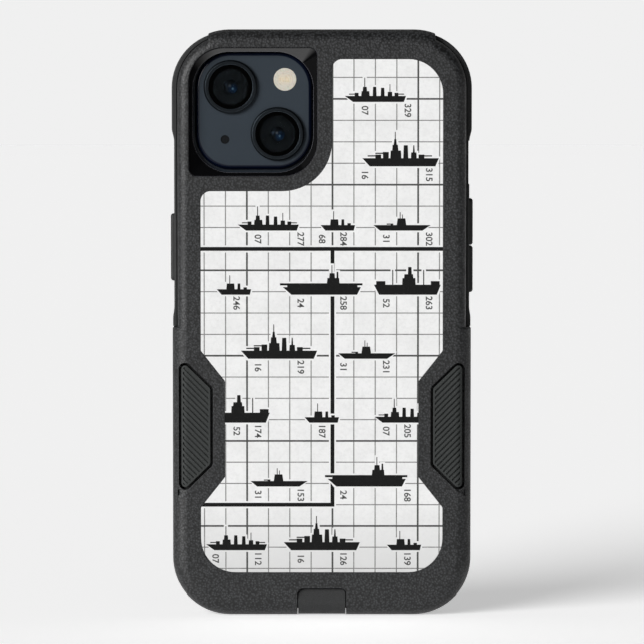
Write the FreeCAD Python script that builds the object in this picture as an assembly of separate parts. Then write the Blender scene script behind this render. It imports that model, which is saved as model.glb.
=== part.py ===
import FreeCAD, Part
import math
import os
from FreeCAD import Vector

# Two-layer protective case, standing on its lower end, with the handset that it holds.
# X runs to the right as the back of the case is seen, Y from the back to the screen side,
# Z up from the surface that the case stands on. All lengths are in millimetres.

# Handset
HANDSET_WIDTH = 71.5
HANDSET_HEIGHT = 146.7
HANDSET_DEPTH = 7.65
HANDSET_CORNER = 11.6
GLASS_THICKNESS = 0.8
GLASS_ROUND = 0.5
GLASS_INSET = 0.05

# Soft sleeve
SLEEVE_WALL = 0.95
SLEEVE_BACK = 1.5
LIP_HEIGHT = 1.6
LIP_OVERHANG = 1.7
LIP_SLOPE = 0.8
RIM_PROUD = 0.95
RIM_FRONT_ROUND = 1.4
RIM_BACK_BEVEL = 0.25
RIM_SEAM_WIDTH = 0.3
RIM_SEAM_DEPTH = 0.45
UPPER_RIM_PROUD = 0.6
UPPER_RIM_FROM_TOP = 28.7
LOWER_RIM_PROUD = 0.35
LOWER_RIM_TOP = 78.6
LOWER_RIM_BOTTOM = 24.2
RIM_TAPER = 2.4
RIM_TAPER_ROUND = 4.0

# Hard shell
SHELL_WALL = 0.95
SHELL_BACK = 2.2
SHELL_SIDE_DEPTH = 4.8
SHELL_EDGE_LAND = 2.2
CAVITY_ROUND = 2.0
STRIP_PROUD = 0.6
WRAP_PROUD = 0.42
WRAP_ROUND = 4.0
WRAP_BELOW_COVERS = 9.0
STRIP_END_ROUND = 0.5
TOP_STRIP_INSET = 9.65
BOTTOM_STRIP_INSET = 3.8

# Clearances
HANDSET_FIT = 0.05
SHELL_FIT = 0.15
PANEL_FIT = 0.06
BUTTON_FIT = 0.15
FLAP_FIT = 0.25
INSERT_FIT = 0.03

# Camera of the handset and the bezel around it
CAMERA_SIDE_MARGIN = 2.5
CAMERA_TOP_MARGIN = 2.05
CAMERA_PLATE = 31.0
CAMERA_PLATE_CORNER = 9.4
CAMERA_PLATE_HEIGHT = 1.4
CAMERA_PLATE_ROUND = 1.3
LENS_OFFSET = 6.15
LENS_RING_RADIUS = 7.05
LENS_RING_WIDTH = 1.2
LENS_RING_HEIGHT = 1.2
LENS_RING_BEVEL = 0.45
LENS_GLASS_THICKNESS = 0.4
LENS_GLASS_DROP = 0.15
LENS_BARREL_STEPS = 2
LENS_BARREL_STEP = 0.45
LENS_BARREL_WIDTH = 1.15
LENS_ELEMENT_RADIUS = 1.9
LENS_ELEMENT_HEIGHT = 0.7
FLASH_OFFSET = 8.1
FLASH_RADIUS = 3.0
FLASH_DEPTH = 0.7
MICROPHONE_OFFSET = 7.6
MICROPHONE_RADIUS = 1.15
MICROPHONE_DEPTH = 0.5
CAMERA_GAP = 0.25
BEZEL_SIDE_SHIFT = 0.2
BEZEL_DROP = 0.45
BEZEL_BORDER = 1.1
BEZEL_LARGE_CORNER = 9.2
BEZEL_SMALL_CORNER = 2.1
BEZEL_RECESS = 0.45
BEZEL_LAND = 0.2
BEZEL_SLOPE_RUN = 4.2
BEZEL_FLOOR = 0.2

# Printed panel
PANEL_THICKNESS = 0.6
ADHESIVE_THICKNESS = 0.12
PANEL_TOP_MARGIN = 7.85
PANEL_SIDE_MARGIN = 6.15
PANEL_BOTTOM_MARGIN = 11.6
PANEL_BEZEL_BORDER = 3.8
PANEL_SMALL_CORNER = 2.6
PANEL_LARGE_CORNER = 9.0
PANEL_NOTCH_CORNER = 0.9
PANEL_GRIP_BORDER = 3.2
PANEL_NOTCH_ABOVE = 1.6
PANEL_NOTCH_BELOW = 3.1
PANEL_NOTCH_RISE = 8.0

# Grip pads
GRIP_WIDTH = 9.0
GRIP_EDGE = 0.3
GRIP_TOP = 69.0
GRIP_INNER_TOP = 60.3
GRIP_INNER_BOTTOM = 39.8
GRIP_BOTTOM = 31.0
GRIP_CORNER = 1.7
GRIP_GROOVE = 0.7
GRIP_RECESS = 0.1
TIP_DEPTH = 0.45
TIP_REACH = 2.4
TIP_FALL = 0.62
RIB_BORDER = 0.45
RIB_DEPTH = 0.4
RIB_PITCH = 1.09
RIB_GAP = 0.5

# Buttons, with heights measured from the top of the handset
SIDE_COVER_TOP = 44.6
SIDE_COVER_LENGTH = 17.7
SIDE_KEY_LENGTH = 13.0
VOLUME_COVER_TOP = 40.6
VOLUME_COVER_LENGTH = 12.3
VOLUME_KEY_LENGTH = 9.4
COVER_HEIGHT = 3.8
COVER_CORNER = 0.9
COVER_PROUD = 0.95
COVER_ROUND = 0.7
BUTTON_TRAVEL = 0.35
KEY_HEIGHT = 2.6
KEY_PROUD = 0.4
KEY_ROOT = 0.8

# Ring switch and its opening in the sleeve
SWITCH_FROM_TOP = 31.2
SWITCH_RECESS_LENGTH = 11.4
SWITCH_RECESS_DEPTH = 0.25
SWITCH_WINDOW_LENGTH = 9.6
SWITCH_WINDOW_HEIGHT = 5.4
SWITCH_SLOT_LENGTH = 6.6
SWITCH_SLOT_DEPTH = 1.0
SWITCH_LENGTH = 5.8
SWITCH_HEIGHT = 1.9
SWITCH_PROUD = 0.4
SWITCH_TRAVEL = 1.3

# Lower end: port cover, charging port, speaker openings, screws
FLAP_WIDTH = 12.4
FLAP_TOP = 7.1
FLAP_CORNER = 1.2
FLAP_NECK_WIDTH = 9.6
FLAP_NECK_LENGTH = 1.7
FLAP_RECESS = 0.15
FLAP_BREAK = 4.2
FLAP_SCOOP = 0.95
FLAP_OUTER_ROUND = 3.8
FLAP_INNER_ROUND = 1.8
HINGE_RADIUS = 1.0
HINGE_FROM_FRONT = 1.25
PLUG_HEIGHT = 0.75
PORT_OPENING_WIDTH = 11.2
PORT_OPENING_HEIGHT = 6.0
PORT_OPENING_CORNER = 1.5
PORT_WIDTH = 9.0
PORT_HEIGHT = 3.2
PORT_DEPTH = 6.0
PORT_LINING = 0.3
TONGUE_WIDTH = 6.4
TONGUE_HEIGHT = 0.7
TONGUE_SHORT = 0.9
SPEAKER_X = 17.5
SPEAKER_LENGTH = 12.0
SPEAKER_HEIGHT = 2.4
MESH_LENGTH = 11.0
MESH_HEIGHT = 1.4
MESH_THICKNESS = 0.5
MESH_DROP = 0.2
SCREW_X = 7.2
SCREW_RADIUS = 0.75
SCREW_DEPTH = 0.7
SCREW_SLOT = 0.25

# Screen side of the handset
EARPIECE_FROM_TOP = 3.6
EARPIECE_LENGTH = 11.0
EARPIECE_HEIGHT = 1.0
EARPIECE_DROP = 0.1
FRONT_CAMERA_X = 10.0
FRONT_CAMERA_RADIUS = 1.5

# Distances of the nested outlines from the handset's outline
SLEEVE_OFF = HANDSET_FIT + SLEEVE_WALL
CAVITY_OFF = SLEEVE_OFF + SHELL_FIT
SHELL_OFF = CAVITY_OFF + SHELL_WALL
RIM_OFF = SHELL_OFF + RIM_PROUD
STRIP_OFF = RIM_OFF + STRIP_PROUD
WRAP_OFF = RIM_OFF + WRAP_PROUD

# Levels from back to front
CASE_DEPTH = SHELL_BACK + SHELL_FIT + SLEEVE_BACK + HANDSET_FIT + HANDSET_DEPTH + HANDSET_FIT + LIP_HEIGHT
BACK_Y = -CASE_DEPTH / 2
CAVITY_Y = BACK_Y + SHELL_BACK
SLEEVE_BACK_Y = CAVITY_Y + SHELL_FIT
SLEEVE_INNER_Y = SLEEVE_BACK_Y + SLEEVE_BACK
HANDSET_BACK_Y = SLEEVE_INNER_Y + HANDSET_FIT
HANDSET_FRONT_Y = HANDSET_BACK_Y + HANDSET_DEPTH
HANDSET_MID_Y = (HANDSET_BACK_Y + HANDSET_FRONT_Y) / 2
LIP_Y = HANDSET_FRONT_Y + HANDSET_FIT
FRONT_Y = LIP_Y + LIP_HEIGHT
SHELL_EDGE_Y = BACK_Y + SHELL_SIDE_DEPTH
SHELL_ROUND = SHELL_SIDE_DEPTH - SHELL_EDGE_LAND
RIM_BACK_Y = SHELL_EDGE_Y + SHELL_FIT
STRIP_FRONT_Y = HANDSET_FRONT_Y

# Half widths and heights above the floor
MID_Z = HANDSET_HEIGHT / 2 + STRIP_OFF
TOP_Z = 2 * MID_Z
HANDSET_HALF = HANDSET_WIDTH / 2
HANDSET_TOP = MID_Z + HANDSET_HEIGHT / 2
HANDSET_BOTTOM = MID_Z - HANDSET_HEIGHT / 2
SHELL_HALF = HANDSET_HALF + SHELL_OFF
RIM_HALF = HANDSET_HALF + RIM_OFF
SLEEVE_HALF = HANDSET_HALF + SLEEVE_OFF
TOP_STRIP_HALF = HANDSET_HALF + STRIP_OFF - TOP_STRIP_INSET
BOTTOM_STRIP_HALF = HANDSET_HALF + STRIP_OFF - BOTTOM_STRIP_INSET
WRAP_HALF = HANDSET_HALF + WRAP_OFF
SLEEVE_BOTTOM = HANDSET_BOTTOM - SLEEVE_OFF

# Camera and bezel
CAMERA_X = -HANDSET_HALF + CAMERA_SIDE_MARGIN + CAMERA_PLATE / 2
CAMERA_Z = HANDSET_TOP - CAMERA_TOP_MARGIN - CAMERA_PLATE / 2
PLATE_Y = HANDSET_BACK_Y - CAMERA_PLATE_HEIGHT
LENS_TOP_Y = PLATE_Y - LENS_RING_HEIGHT
LENS_BORE = LENS_RING_RADIUS - LENS_RING_WIDTH
BARREL_Y = LENS_TOP_Y + LENS_GLASS_DROP + LENS_GLASS_THICKNESS
BARREL_FLOOR_Y = BARREL_Y + LENS_BARREL_STEPS * LENS_BARREL_STEP
BEZEL_X = CAMERA_X - BEZEL_SIDE_SHIFT
BEZEL_Z = CAMERA_Z - BEZEL_DROP
BEZEL_Y = BACK_Y + BEZEL_RECESS
BEZEL_OPENING = CAMERA_PLATE + 2 * CAMERA_GAP
BEZEL_WIDTH = BEZEL_OPENING + 2 * BEZEL_BORDER
FLASH_X = CAMERA_X + FLASH_OFFSET
FLASH_Z = CAMERA_Z + FLASH_OFFSET
MICROPHONE_X = CAMERA_X - MICROPHONE_OFFSET
MICROPHONE_Z = CAMERA_Z - MICROPHONE_OFFSET
LENSES = {
    "upper": (CAMERA_X - LENS_OFFSET, CAMERA_Z + LENS_OFFSET),
    "lower": (CAMERA_X + LENS_OFFSET, CAMERA_Z - LENS_OFFSET),
}

# Buttons: cover, key, side, lower end of the cover, upper end of the cover, length of the key
SIDE_COVER_HIGH = HANDSET_TOP - SIDE_COVER_TOP
VOLUME_UP_HIGH = HANDSET_TOP - VOLUME_COVER_TOP
SIDE_COVER_LOW = SIDE_COVER_HIGH - SIDE_COVER_LENGTH
VOLUME_UP_LOW = VOLUME_UP_HIGH - VOLUME_COVER_LENGTH
VOLUME_DOWN_HIGH = VOLUME_UP_LOW - BUTTON_FIT
VOLUME_DOWN_LOW = VOLUME_DOWN_HIGH - VOLUME_COVER_LENGTH
BUTTONS = [
    ("side_button_cover", "handset_side_button", -1, SIDE_COVER_LOW, SIDE_COVER_HIGH, SIDE_KEY_LENGTH),
    ("volume_up_cover", "handset_volume_up", 1, VOLUME_UP_LOW, VOLUME_UP_HIGH, VOLUME_KEY_LENGTH),
    ("volume_down_cover", "handset_volume_down", 1, VOLUME_DOWN_LOW, VOLUME_DOWN_HIGH, VOLUME_KEY_LENGTH),
]
WRAP_TOP = min(SIDE_COVER_LOW, VOLUME_DOWN_LOW) - WRAP_BELOW_COVERS
SWITCH_Z = HANDSET_TOP - SWITCH_FROM_TOP

# Port cover and its hinge
FLAP_BOTTOM = FLAP_RECESS
FLAP_ROOF = SLEEVE_BOTTOM - BUTTON_FIT
HINGE_Y = FRONT_Y - HINGE_FROM_FRONT
HINGE_Z = FLAP_BOTTOM + HINGE_RADIUS
NECK_Y = HINGE_Y - FLAP_NECK_LENGTH

# Reach of cutting tools beyond the faces that they cut, and the distances that count as nothing
BEYOND = 2.0
TINY = 1e-4
NEAR = 1e-3
SMALLEST_CORNER = 0.05


def at(axis, u, v, height):
    """Point with outline coordinates u and v at a height along the axis X, Y or Z."""
    if axis == "X":
        return Vector(height, u, v)
    if axis == "Y":
        return Vector(u, height, v)
    return Vector(u, v, height)


def rectangle(u_low, u_high, v_low, v_high, radius=0.0):
    """Corners of a rectangle, each with the same radius."""
    return [
        (u_low, v_low, radius),
        (u_high, v_low, radius),
        (u_high, v_high, radius),
        (u_low, v_high, radius),
    ]


def bar(u, v, length, height):
    """Corners of a bar with fully round ends, centred on u and v."""
    radius = min(length, height) / 2 - SMALLEST_CORNER
    return rectangle(u - length / 2, u + length / 2, v - height / 2, v + height / 2, radius)


def rounded_wire(corners, axis, height):
    """Closed wire through corners (u, v, radius), with an arc at each corner that has a radius."""
    points = [at(axis, u, v, height) for u, v, radius in corners]
    arcs = []
    for index, (u, v, radius) in enumerate(corners):
        corner = points[index]
        back = (points[index - 1] - corner).normalize()
        ahead = (points[(index + 1) % len(points)] - corner).normalize()
        half = back.getAngle(ahead) / 2
        reach = radius / math.tan(half)
        inward = (back + ahead).normalize() * (radius / math.sin(half) - radius)
        arcs.append((corner + back * reach, corner + inward, corner + ahead * reach))
    edges = []
    for index, (start, middle, end) in enumerate(arcs):
        if corners[index][2] > TINY:
            edges.append(Part.Arc(start, middle, end).toShape())
        following = arcs[(index + 1) % len(arcs)][0]
        if (following - end).Length > TINY:
            edges.append(Part.LineSegment(end, following).toShape())
    return Part.Wire(edges)


def prism(corners, axis, low, high, grow=0.0):
    """Solid between two heights on a rounded outline, which grow widens or narrows all round."""
    wire = rounded_wire(corners, axis, low)
    if abs(grow) > TINY:
        wire = wire.makeOffset2D(grow)
    return Part.Face(wire).extrude(at(axis, 0, 0, high - low))


def lies_at(edge, axis, height):
    """Whether an edge lies in the plane at one height along the axis."""
    box = edge.BoundBox
    low = getattr(box, axis + "Min")
    high = getattr(box, axis + "Max")
    return abs(low - height) < NEAR and abs(high - height) < NEAR


def round_rim(shape, axis, height, radius):
    """Shape with every edge that lies at one height along the axis rounded."""
    return shape.makeFillet(radius, [edge for edge in shape.Edges if lies_at(edge, axis, height)])


def bevel_rim(shape, axis, height, size):
    """Shape with every edge that lies at one height along the axis bevelled."""
    return shape.makeChamfer(size, [edge for edge in shape.Edges if lies_at(edge, axis, height)])


def disc(radius, x, z, y_low, y_high):
    """Cylinder along Y."""
    return Part.makeCylinder(radius, y_high - y_low, Vector(x, y_low, z), Vector(0, 1, 0))


def around_handset(offset):
    """Outline of the handset, moved outwards by an offset."""
    half_width = HANDSET_HALF + offset
    low = MID_Z - HANDSET_HEIGHT / 2 - offset
    high = MID_Z + HANDSET_HEIGHT / 2 + offset
    corner = HANDSET_CORNER + offset
    return [
        (-half_width, low, corner),
        (half_width, low, corner),
        (half_width, high, corner),
        (-half_width, high, corner),
    ]


def mirrored(corners):
    """Corners on the other side of the middle plane, in the order that closes the outline."""
    return [(-u, v, radius) for u, v, radius in reversed(corners)]


def shell_form(depth):
    """Outer form of the shell without its strips, drawn in by a depth."""
    form = prism(around_handset(SHELL_OFF - depth), "Y", BACK_Y + depth, SHELL_EDGE_Y)
    return round_rim(form, "Y", BACK_Y + depth, SHELL_ROUND - depth)


def wrapping_form(offset, depth):
    """Form around the sleeve, with a broadly rounded back edge, drawn in by a depth."""
    form = prism(around_handset(offset - depth), "Y", BACK_Y + depth, STRIP_FRONT_Y)
    return round_rim(form, "Y", BACK_Y + depth, WRAP_ROUND - depth)


def sleeve_core():
    """Solid form of the sleeve inside the shell, before it is hollowed."""
    core = prism(around_handset(SLEEVE_OFF), "Y", SLEEVE_BACK_Y, FRONT_Y)
    return round_rim(core, "Y", SLEEVE_BACK_Y, CAVITY_ROUND)


def bezel_outline(inset):
    """Outline of the camera bezel, with two large and two small corners, drawn in by an inset."""
    half = BEZEL_WIDTH / 2 - inset
    large = max(BEZEL_LARGE_CORNER - inset, SMALLEST_CORNER)
    small = max(BEZEL_SMALL_CORNER - inset, SMALLEST_CORNER)
    return [
        (BEZEL_X - half, BEZEL_Z - half, small),
        (BEZEL_X + half, BEZEL_Z - half, large),
        (BEZEL_X + half, BEZEL_Z + half, small),
        (BEZEL_X - half, BEZEL_Z + half, large),
    ]


def square(u, v, width, radius):
    """Corners of a square centred on u and v."""
    half = width / 2
    return rectangle(u - half, u + half, v - half, v + half, radius)


def camera_opening():
    """Outline of the opening that shows the camera."""
    return square(BEZEL_X, BEZEL_Z, BEZEL_OPENING, CAMERA_PLATE_CORNER + CAMERA_GAP)


def grip_outline():
    """Window for the grip pad on the right side."""
    outer = SHELL_HALF - GRIP_EDGE
    inner = outer - GRIP_WIDTH
    return [
        (inner, GRIP_INNER_BOTTOM, GRIP_CORNER),
        (outer, GRIP_BOTTOM, GRIP_CORNER),
        (outer, GRIP_TOP, GRIP_CORNER),
        (inner, GRIP_INNER_TOP, GRIP_CORNER),
    ]


def grip_tip():
    """Shallow facet in the shell, below the lower tip of the grip window on the right side."""
    outer = SHELL_HALF
    start = SHELL_HALF - GRIP_EDGE - TIP_REACH
    slope = (GRIP_INNER_BOTTOM - GRIP_BOTTOM) / GRIP_WIDTH
    level = GRIP_BOTTOM + slope * TIP_REACH
    facet = [(start, level, 0.0), (outer, level - TIP_FALL * (outer - start), 0.0), (outer, level, 0.0)]
    return prism(facet, "Y", BACK_Y - BEYOND, BACK_Y + WRAP_ROUND).cut(wrapping_form(WRAP_OFF, TIP_DEPTH))


def panel_outline():
    """Printed panel: a wide field that steps round the bezel and is drawn in beside the grips."""
    side = SHELL_HALF - PANEL_SIDE_MARGIN
    waist = SHELL_HALF - GRIP_EDGE - GRIP_WIDTH - PANEL_GRIP_BORDER
    top = TOP_Z - PANEL_TOP_MARGIN
    step_x = BEZEL_X + BEZEL_WIDTH / 2 + PANEL_BEZEL_BORDER
    step_z = BEZEL_Z - BEZEL_WIDTH / 2 - PANEL_BEZEL_BORDER
    waist_top = GRIP_INNER_TOP + PANEL_NOTCH_ABOVE
    waist_bottom = GRIP_INNER_BOTTOM - PANEL_NOTCH_BELOW
    right = [
        (side, PANEL_BOTTOM_MARGIN, PANEL_LARGE_CORNER),
        (side, waist_bottom - PANEL_NOTCH_RISE, PANEL_NOTCH_CORNER),
        (waist, waist_bottom, PANEL_NOTCH_CORNER),
        (waist, waist_top, PANEL_NOTCH_CORNER),
        (side, waist_top + PANEL_NOTCH_RISE, PANEL_NOTCH_CORNER),
    ]
    upper = [
        (side, top, PANEL_LARGE_CORNER),
        (step_x, top, PANEL_SMALL_CORNER),
        (step_x, step_z, BEZEL_LARGE_CORNER + PANEL_BEZEL_BORDER),
        (-side, step_z, PANEL_SMALL_CORNER),
    ]
    return right + upper + mirrored(right)


def speaker_bar(side, length, height):
    """Outline of a speaker opening in the lower end, at the handset's mid-depth."""
    return bar(side * SPEAKER_X, HANDSET_MID_Y, length, height)


def shell_strip(half, low, high, inner):
    """Strip of the shell, between two heights, that wraps over the sleeve and has rounded ends."""
    zone = prism(rectangle(-half, half, low, high), "Y", BACK_Y - BEYOND, FRONT_Y)
    strip = wrapping_form(STRIP_OFF, 0.0).common(zone)
    ends = [edge for edge in strip.Edges if lies_at(edge, "X", half) or lies_at(edge, "X", -half)]
    ends = [edge for edge in ends if not lies_at(edge, "Z", inner)]
    ends = [edge for edge in ends if not lies_at(edge, "Y", STRIP_FRONT_Y)]
    return strip.makeFillet(STRIP_END_ROUND, ends)


def shell_wrap():
    """Part of the shell that wraps over the sleeve along the lower sides."""
    reach = WRAP_HALF + BEYOND
    zone = prism(rectangle(-reach, reach, -BEYOND, WRAP_TOP), "Y", BACK_Y - BEYOND, FRONT_Y)
    wrap = wrapping_form(WRAP_OFF, 0.0).common(zone)
    ends = [edge for edge in wrap.Edges if lies_at(edge, "Z", WRAP_TOP)]
    ends = [edge for edge in ends if not lies_at(edge, "Y", STRIP_FRONT_Y)]
    return wrap.makeFillet(STRIP_END_ROUND, ends)


def outer_shell():
    """Hard shell: rounded tray that wraps over the sleeve at both ends and along the lower sides."""
    reach = HANDSET_CORNER + STRIP_OFF
    top_strip = shell_strip(TOP_STRIP_HALF, TOP_Z - reach, TOP_Z + BEYOND, TOP_Z - reach)
    bottom_strip = shell_strip(BOTTOM_STRIP_HALF, -BEYOND, reach, reach)
    shell = shell_form(0.0).fuse([top_strip, bottom_strip, shell_wrap()])

    cavity = prism(around_handset(CAVITY_OFF), "Y", CAVITY_Y, FRONT_Y + BEYOND)
    recess_y = BACK_Y + PANEL_THICKNESS + ADHESIVE_THICKNESS
    flap_half = FLAP_WIDTH / 2 + FLAP_FIT
    notch_low = -BEYOND - FLAP_CORNER
    notch = rectangle(-flap_half, flap_half, notch_low, FLAP_TOP + FLAP_FIT, FLAP_CORNER + FLAP_FIT)
    cuts = [
        round_rim(cavity, "Y", CAVITY_Y, CAVITY_ROUND),
        prism(panel_outline(), "Y", BACK_Y - BEYOND, recess_y, PANEL_FIT),
        prism(bezel_outline(0.0), "Y", BACK_Y - BEYOND, CAVITY_Y + BEYOND, PANEL_FIT),
        prism(grip_outline(), "Y", BACK_Y - BEYOND, CAVITY_Y + CAVITY_ROUND),
        prism(mirrored(grip_outline()), "Y", BACK_Y - BEYOND, CAVITY_Y + CAVITY_ROUND),
        grip_tip(),
        other_side(grip_tip()),
        prism(notch, "Y", BACK_Y - BEYOND, FRONT_Y),
    ]
    for side in (-1, 1):
        cuts.append(prism(speaker_bar(side, SPEAKER_LENGTH, SPEAKER_HEIGHT), "Z", -BEYOND, HANDSET_BOTTOM))
    return shell.cut(cuts).removeSplitter()


def back_panel():
    """Printed panel, flush with the back of the shell."""
    return prism(panel_outline(), "Y", BACK_Y, BACK_Y + PANEL_THICKNESS)


def panel_adhesive():
    """Film between the panel and the floor of its recess."""
    low = BACK_Y + PANEL_THICKNESS
    return prism(panel_outline(), "Y", low, low + ADHESIVE_THICKNESS, -PANEL_FIT)


def camera_bezel():
    """Frame with flat faces that fall from the back of the shell to the camera opening."""
    block = prism(bezel_outline(0.0), "Y", BEZEL_Y, CAVITY_Y)
    upper = rounded_wire(bezel_outline(BEZEL_LAND), "Y", BEZEL_Y)
    lower = rounded_wire(bezel_outline(BEZEL_LAND + BEZEL_SLOPE_RUN), "Y", CAVITY_Y - BEZEL_FLOOR)
    slope = Part.makeLoft([upper, lower], True, True)
    opening = prism(camera_opening(), "Y", BEZEL_Y - BEYOND, CAVITY_Y + BEYOND)
    return block.cut([slope, opening])


def rim_outline():
    """Outer edge of the sleeve: thicker beside the upper corners and along the grips."""
    low = MID_Z - HANDSET_HEIGHT / 2 - RIM_OFF
    high = MID_Z + HANDSET_HEIGHT / 2 + RIM_OFF
    corner = HANDSET_CORNER + RIM_OFF
    upper_end = HANDSET_TOP - UPPER_RIM_FROM_TOP + STRIP_OFF
    right = [
        (RIM_HALF, low, corner),
        (RIM_HALF, LOWER_RIM_BOTTOM, RIM_TAPER_ROUND),
        (RIM_HALF + LOWER_RIM_PROUD, LOWER_RIM_BOTTOM + RIM_TAPER, RIM_TAPER_ROUND),
        (RIM_HALF + LOWER_RIM_PROUD, LOWER_RIM_TOP, RIM_TAPER_ROUND),
        (RIM_HALF, LOWER_RIM_TOP + RIM_TAPER, RIM_TAPER_ROUND),
        (RIM_HALF, upper_end, RIM_TAPER_ROUND),
        (RIM_HALF + UPPER_RIM_PROUD, upper_end + RIM_TAPER, RIM_TAPER_ROUND),
        (RIM_HALF + UPPER_RIM_PROUD, high, corner),
    ]
    return right + mirrored(right)


def key_outline(low, high, length):
    """Outline, in Y and Z, of a key of the handset behind the middle of its cover."""
    middle = (low + high) / 2
    return rectangle(
        HANDSET_MID_Y - KEY_HEIGHT / 2, HANDSET_MID_Y + KEY_HEIGHT / 2,
        middle - length / 2, middle + length / 2, KEY_HEIGHT / 2 - SMALLEST_CORNER,
    )


def cover_outline(low, high):
    """Outline, in Y and Z, of a button cover."""
    half = COVER_HEIGHT / 2
    return rectangle(HANDSET_MID_Y - half, HANDSET_MID_Y + half, low, high, COVER_CORNER)


def switch_slot(length, height, y_shift=0.0):
    """Outline, in Y and Z, of the ring switch or of its slot."""
    return bar(HANDSET_MID_Y + y_shift, SWITCH_Z, height, length)


def screen_window(y):
    """Wire of the window in front of the display, which widens from the glass to the front of the lip."""
    widening = LIP_SLOPE * (y - LIP_Y) / LIP_HEIGHT
    return rounded_wire(around_handset(widening - LIP_OVERHANG), "Y", y)


def inner_sleeve():
    """Soft sleeve: thin core inside the shell and a thick rim in front of the shell's edge."""
    rim = prism(rim_outline(), "Y", RIM_BACK_Y, FRONT_Y)
    rim = round_rim(rim, "Y", FRONT_Y, RIM_FRONT_ROUND)
    rim = bevel_rim(rim, "Y", RIM_BACK_Y, RIM_BACK_BEVEL)
    seam = around_handset(SHELL_OFF + RIM_SEAM_WIDTH)
    pockets = [prism(seam, "Y", RIM_BACK_Y - BEYOND, RIM_BACK_Y + RIM_SEAM_DEPTH)]
    for half, low, high in ((TOP_STRIP_HALF, MID_Z, TOP_Z + BEYOND), (WRAP_HALF, -BEYOND, WRAP_TOP)):
        zone = rectangle(-half - SHELL_FIT, half + SHELL_FIT, low, high + SHELL_FIT)
        pockets.append(prism(zone, "Y", RIM_BACK_Y - BEYOND, STRIP_FRONT_Y + SHELL_FIT))
    core = sleeve_core()
    sleeve = core.fuse(rim.cut(pockets))

    window = Part.makeLoft([screen_window(LIP_Y - BEYOND), screen_window(FRONT_Y + BEYOND)], True, True)
    port_half = PORT_OPENING_WIDTH / 2
    port_reach = PORT_OPENING_HEIGHT / 2
    port = rectangle(
        -port_half, port_half, HANDSET_MID_Y - port_reach, HANDSET_MID_Y + port_reach, PORT_OPENING_CORNER,
    )
    neck_half = FLAP_NECK_WIDTH / 2 + FLAP_FIT
    channel = rectangle(-neck_half, neck_half, -BEYOND, SLEEVE_BOTTOM)
    cuts = [
        prism(around_handset(HANDSET_FIT), "Y", SLEEVE_INNER_Y, LIP_Y),
        window,
        prism(camera_opening(), "Y", SLEEVE_BACK_Y - BEYOND, HANDSET_MID_Y, 2 * CAMERA_GAP),
        prism(port, "Z", -BEYOND, HANDSET_BOTTOM),
        prism(channel, "Y", RIM_BACK_Y - BEYOND, FRONT_Y + BEYOND),
    ]
    for side in (-1, 1):
        cuts.append(prism(speaker_bar(side, SPEAKER_LENGTH, SPEAKER_HEIGHT), "Z", -BEYOND, HANDSET_BOTTOM))
    for cover, key, side, low, high, key_length in BUTTONS:
        outer = side * (RIM_HALF + UPPER_RIM_PROUD + BEYOND)
        cuts.append(prism(cover_outline(low, high), "X", side * SLEEVE_HALF, outer, BUTTON_FIT))
        cuts.append(prism(key_outline(low, high, key_length), "X", side * HANDSET_HALF, outer, BUTTON_FIT))
    recess = rectangle(
        RIM_BACK_Y - BEYOND, FRONT_Y + BEYOND,
        SWITCH_Z - SWITCH_RECESS_LENGTH / 2, SWITCH_Z + SWITCH_RECESS_LENGTH / 2,
    )
    cuts.append(prism(recess, "X", RIM_HALF - SWITCH_RECESS_DEPTH, RIM_HALF + BEYOND))
    switch_window = switch_slot(SWITCH_WINDOW_LENGTH, SWITCH_WINDOW_HEIGHT)
    cuts.append(prism(switch_window, "X", HANDSET_HALF, RIM_HALF + BEYOND))
    return sleeve.cut(cuts).removeSplitter()


def grip_pad():
    """Ribbed pad on the right side, from the sleeve out to just below the face of the shell."""
    outline = grip_outline()
    low = BACK_Y - BEYOND
    high = SLEEVE_BACK_Y + CAVITY_ROUND
    pad = shell_form(GRIP_RECESS).common(prism(outline, "Y", low, high, -GRIP_GROOVE))
    pad = pad.cut(sleeve_core())

    ribbed = prism(outline, "Y", low, high, -GRIP_GROOVE - RIB_BORDER)
    ribbed = ribbed.cut(shell_form(GRIP_RECESS + RIB_DEPTH))
    inner = SHELL_HALF - GRIP_EDGE - GRIP_WIDTH
    slant = GRIP_WIDTH
    step = RIB_PITCH * math.sqrt(2)
    thickness = RIB_GAP * math.sqrt(2)
    count = int((GRIP_TOP - GRIP_BOTTOM + slant) / step) + 1
    grooves = []
    for index in range(count):
        start = GRIP_BOTTOM - slant + index * step
        groove = [
            (inner, start, 0.0),
            (inner + slant, start + slant, 0.0),
            (inner + slant, start + slant + thickness, 0.0),
            (inner, start + thickness, 0.0),
        ]
        grooves.append(prism(groove, "Y", low, high))
    return pad.cut(ribbed.common(Part.makeCompound(grooves)))


def other_side(shape):
    """Copy of a shape on the other side of the middle plane."""
    return shape.mirror(Vector(0, 0, 0), Vector(1, 0, 0))


def button_cover(side, low, high, key_length):
    """Cover in the sleeve's rim, with a pusher that reaches to the key of the handset."""
    cap_inner = SLEEVE_HALF + BUTTON_TRAVEL + BUTTON_FIT
    cap_outer = RIM_HALF + COVER_PROUD
    cap = prism(cover_outline(low, high), "X", side * cap_inner, side * cap_outer)
    cap = round_rim(cap, "X", side * cap_outer, COVER_ROUND)
    pusher_end = HANDSET_HALF + KEY_PROUD
    pusher = prism(key_outline(low, high, key_length), "X", side * pusher_end, side * cap_inner)
    return cap.fuse(pusher)


def handset_key(side, low, high, key_length):
    """Key of the handset, which stands a little out of the frame."""
    inner = HANDSET_HALF - KEY_ROOT
    return prism(key_outline(low, high, key_length), "X", side * inner, side * (HANDSET_HALF + KEY_PROUD))


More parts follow.
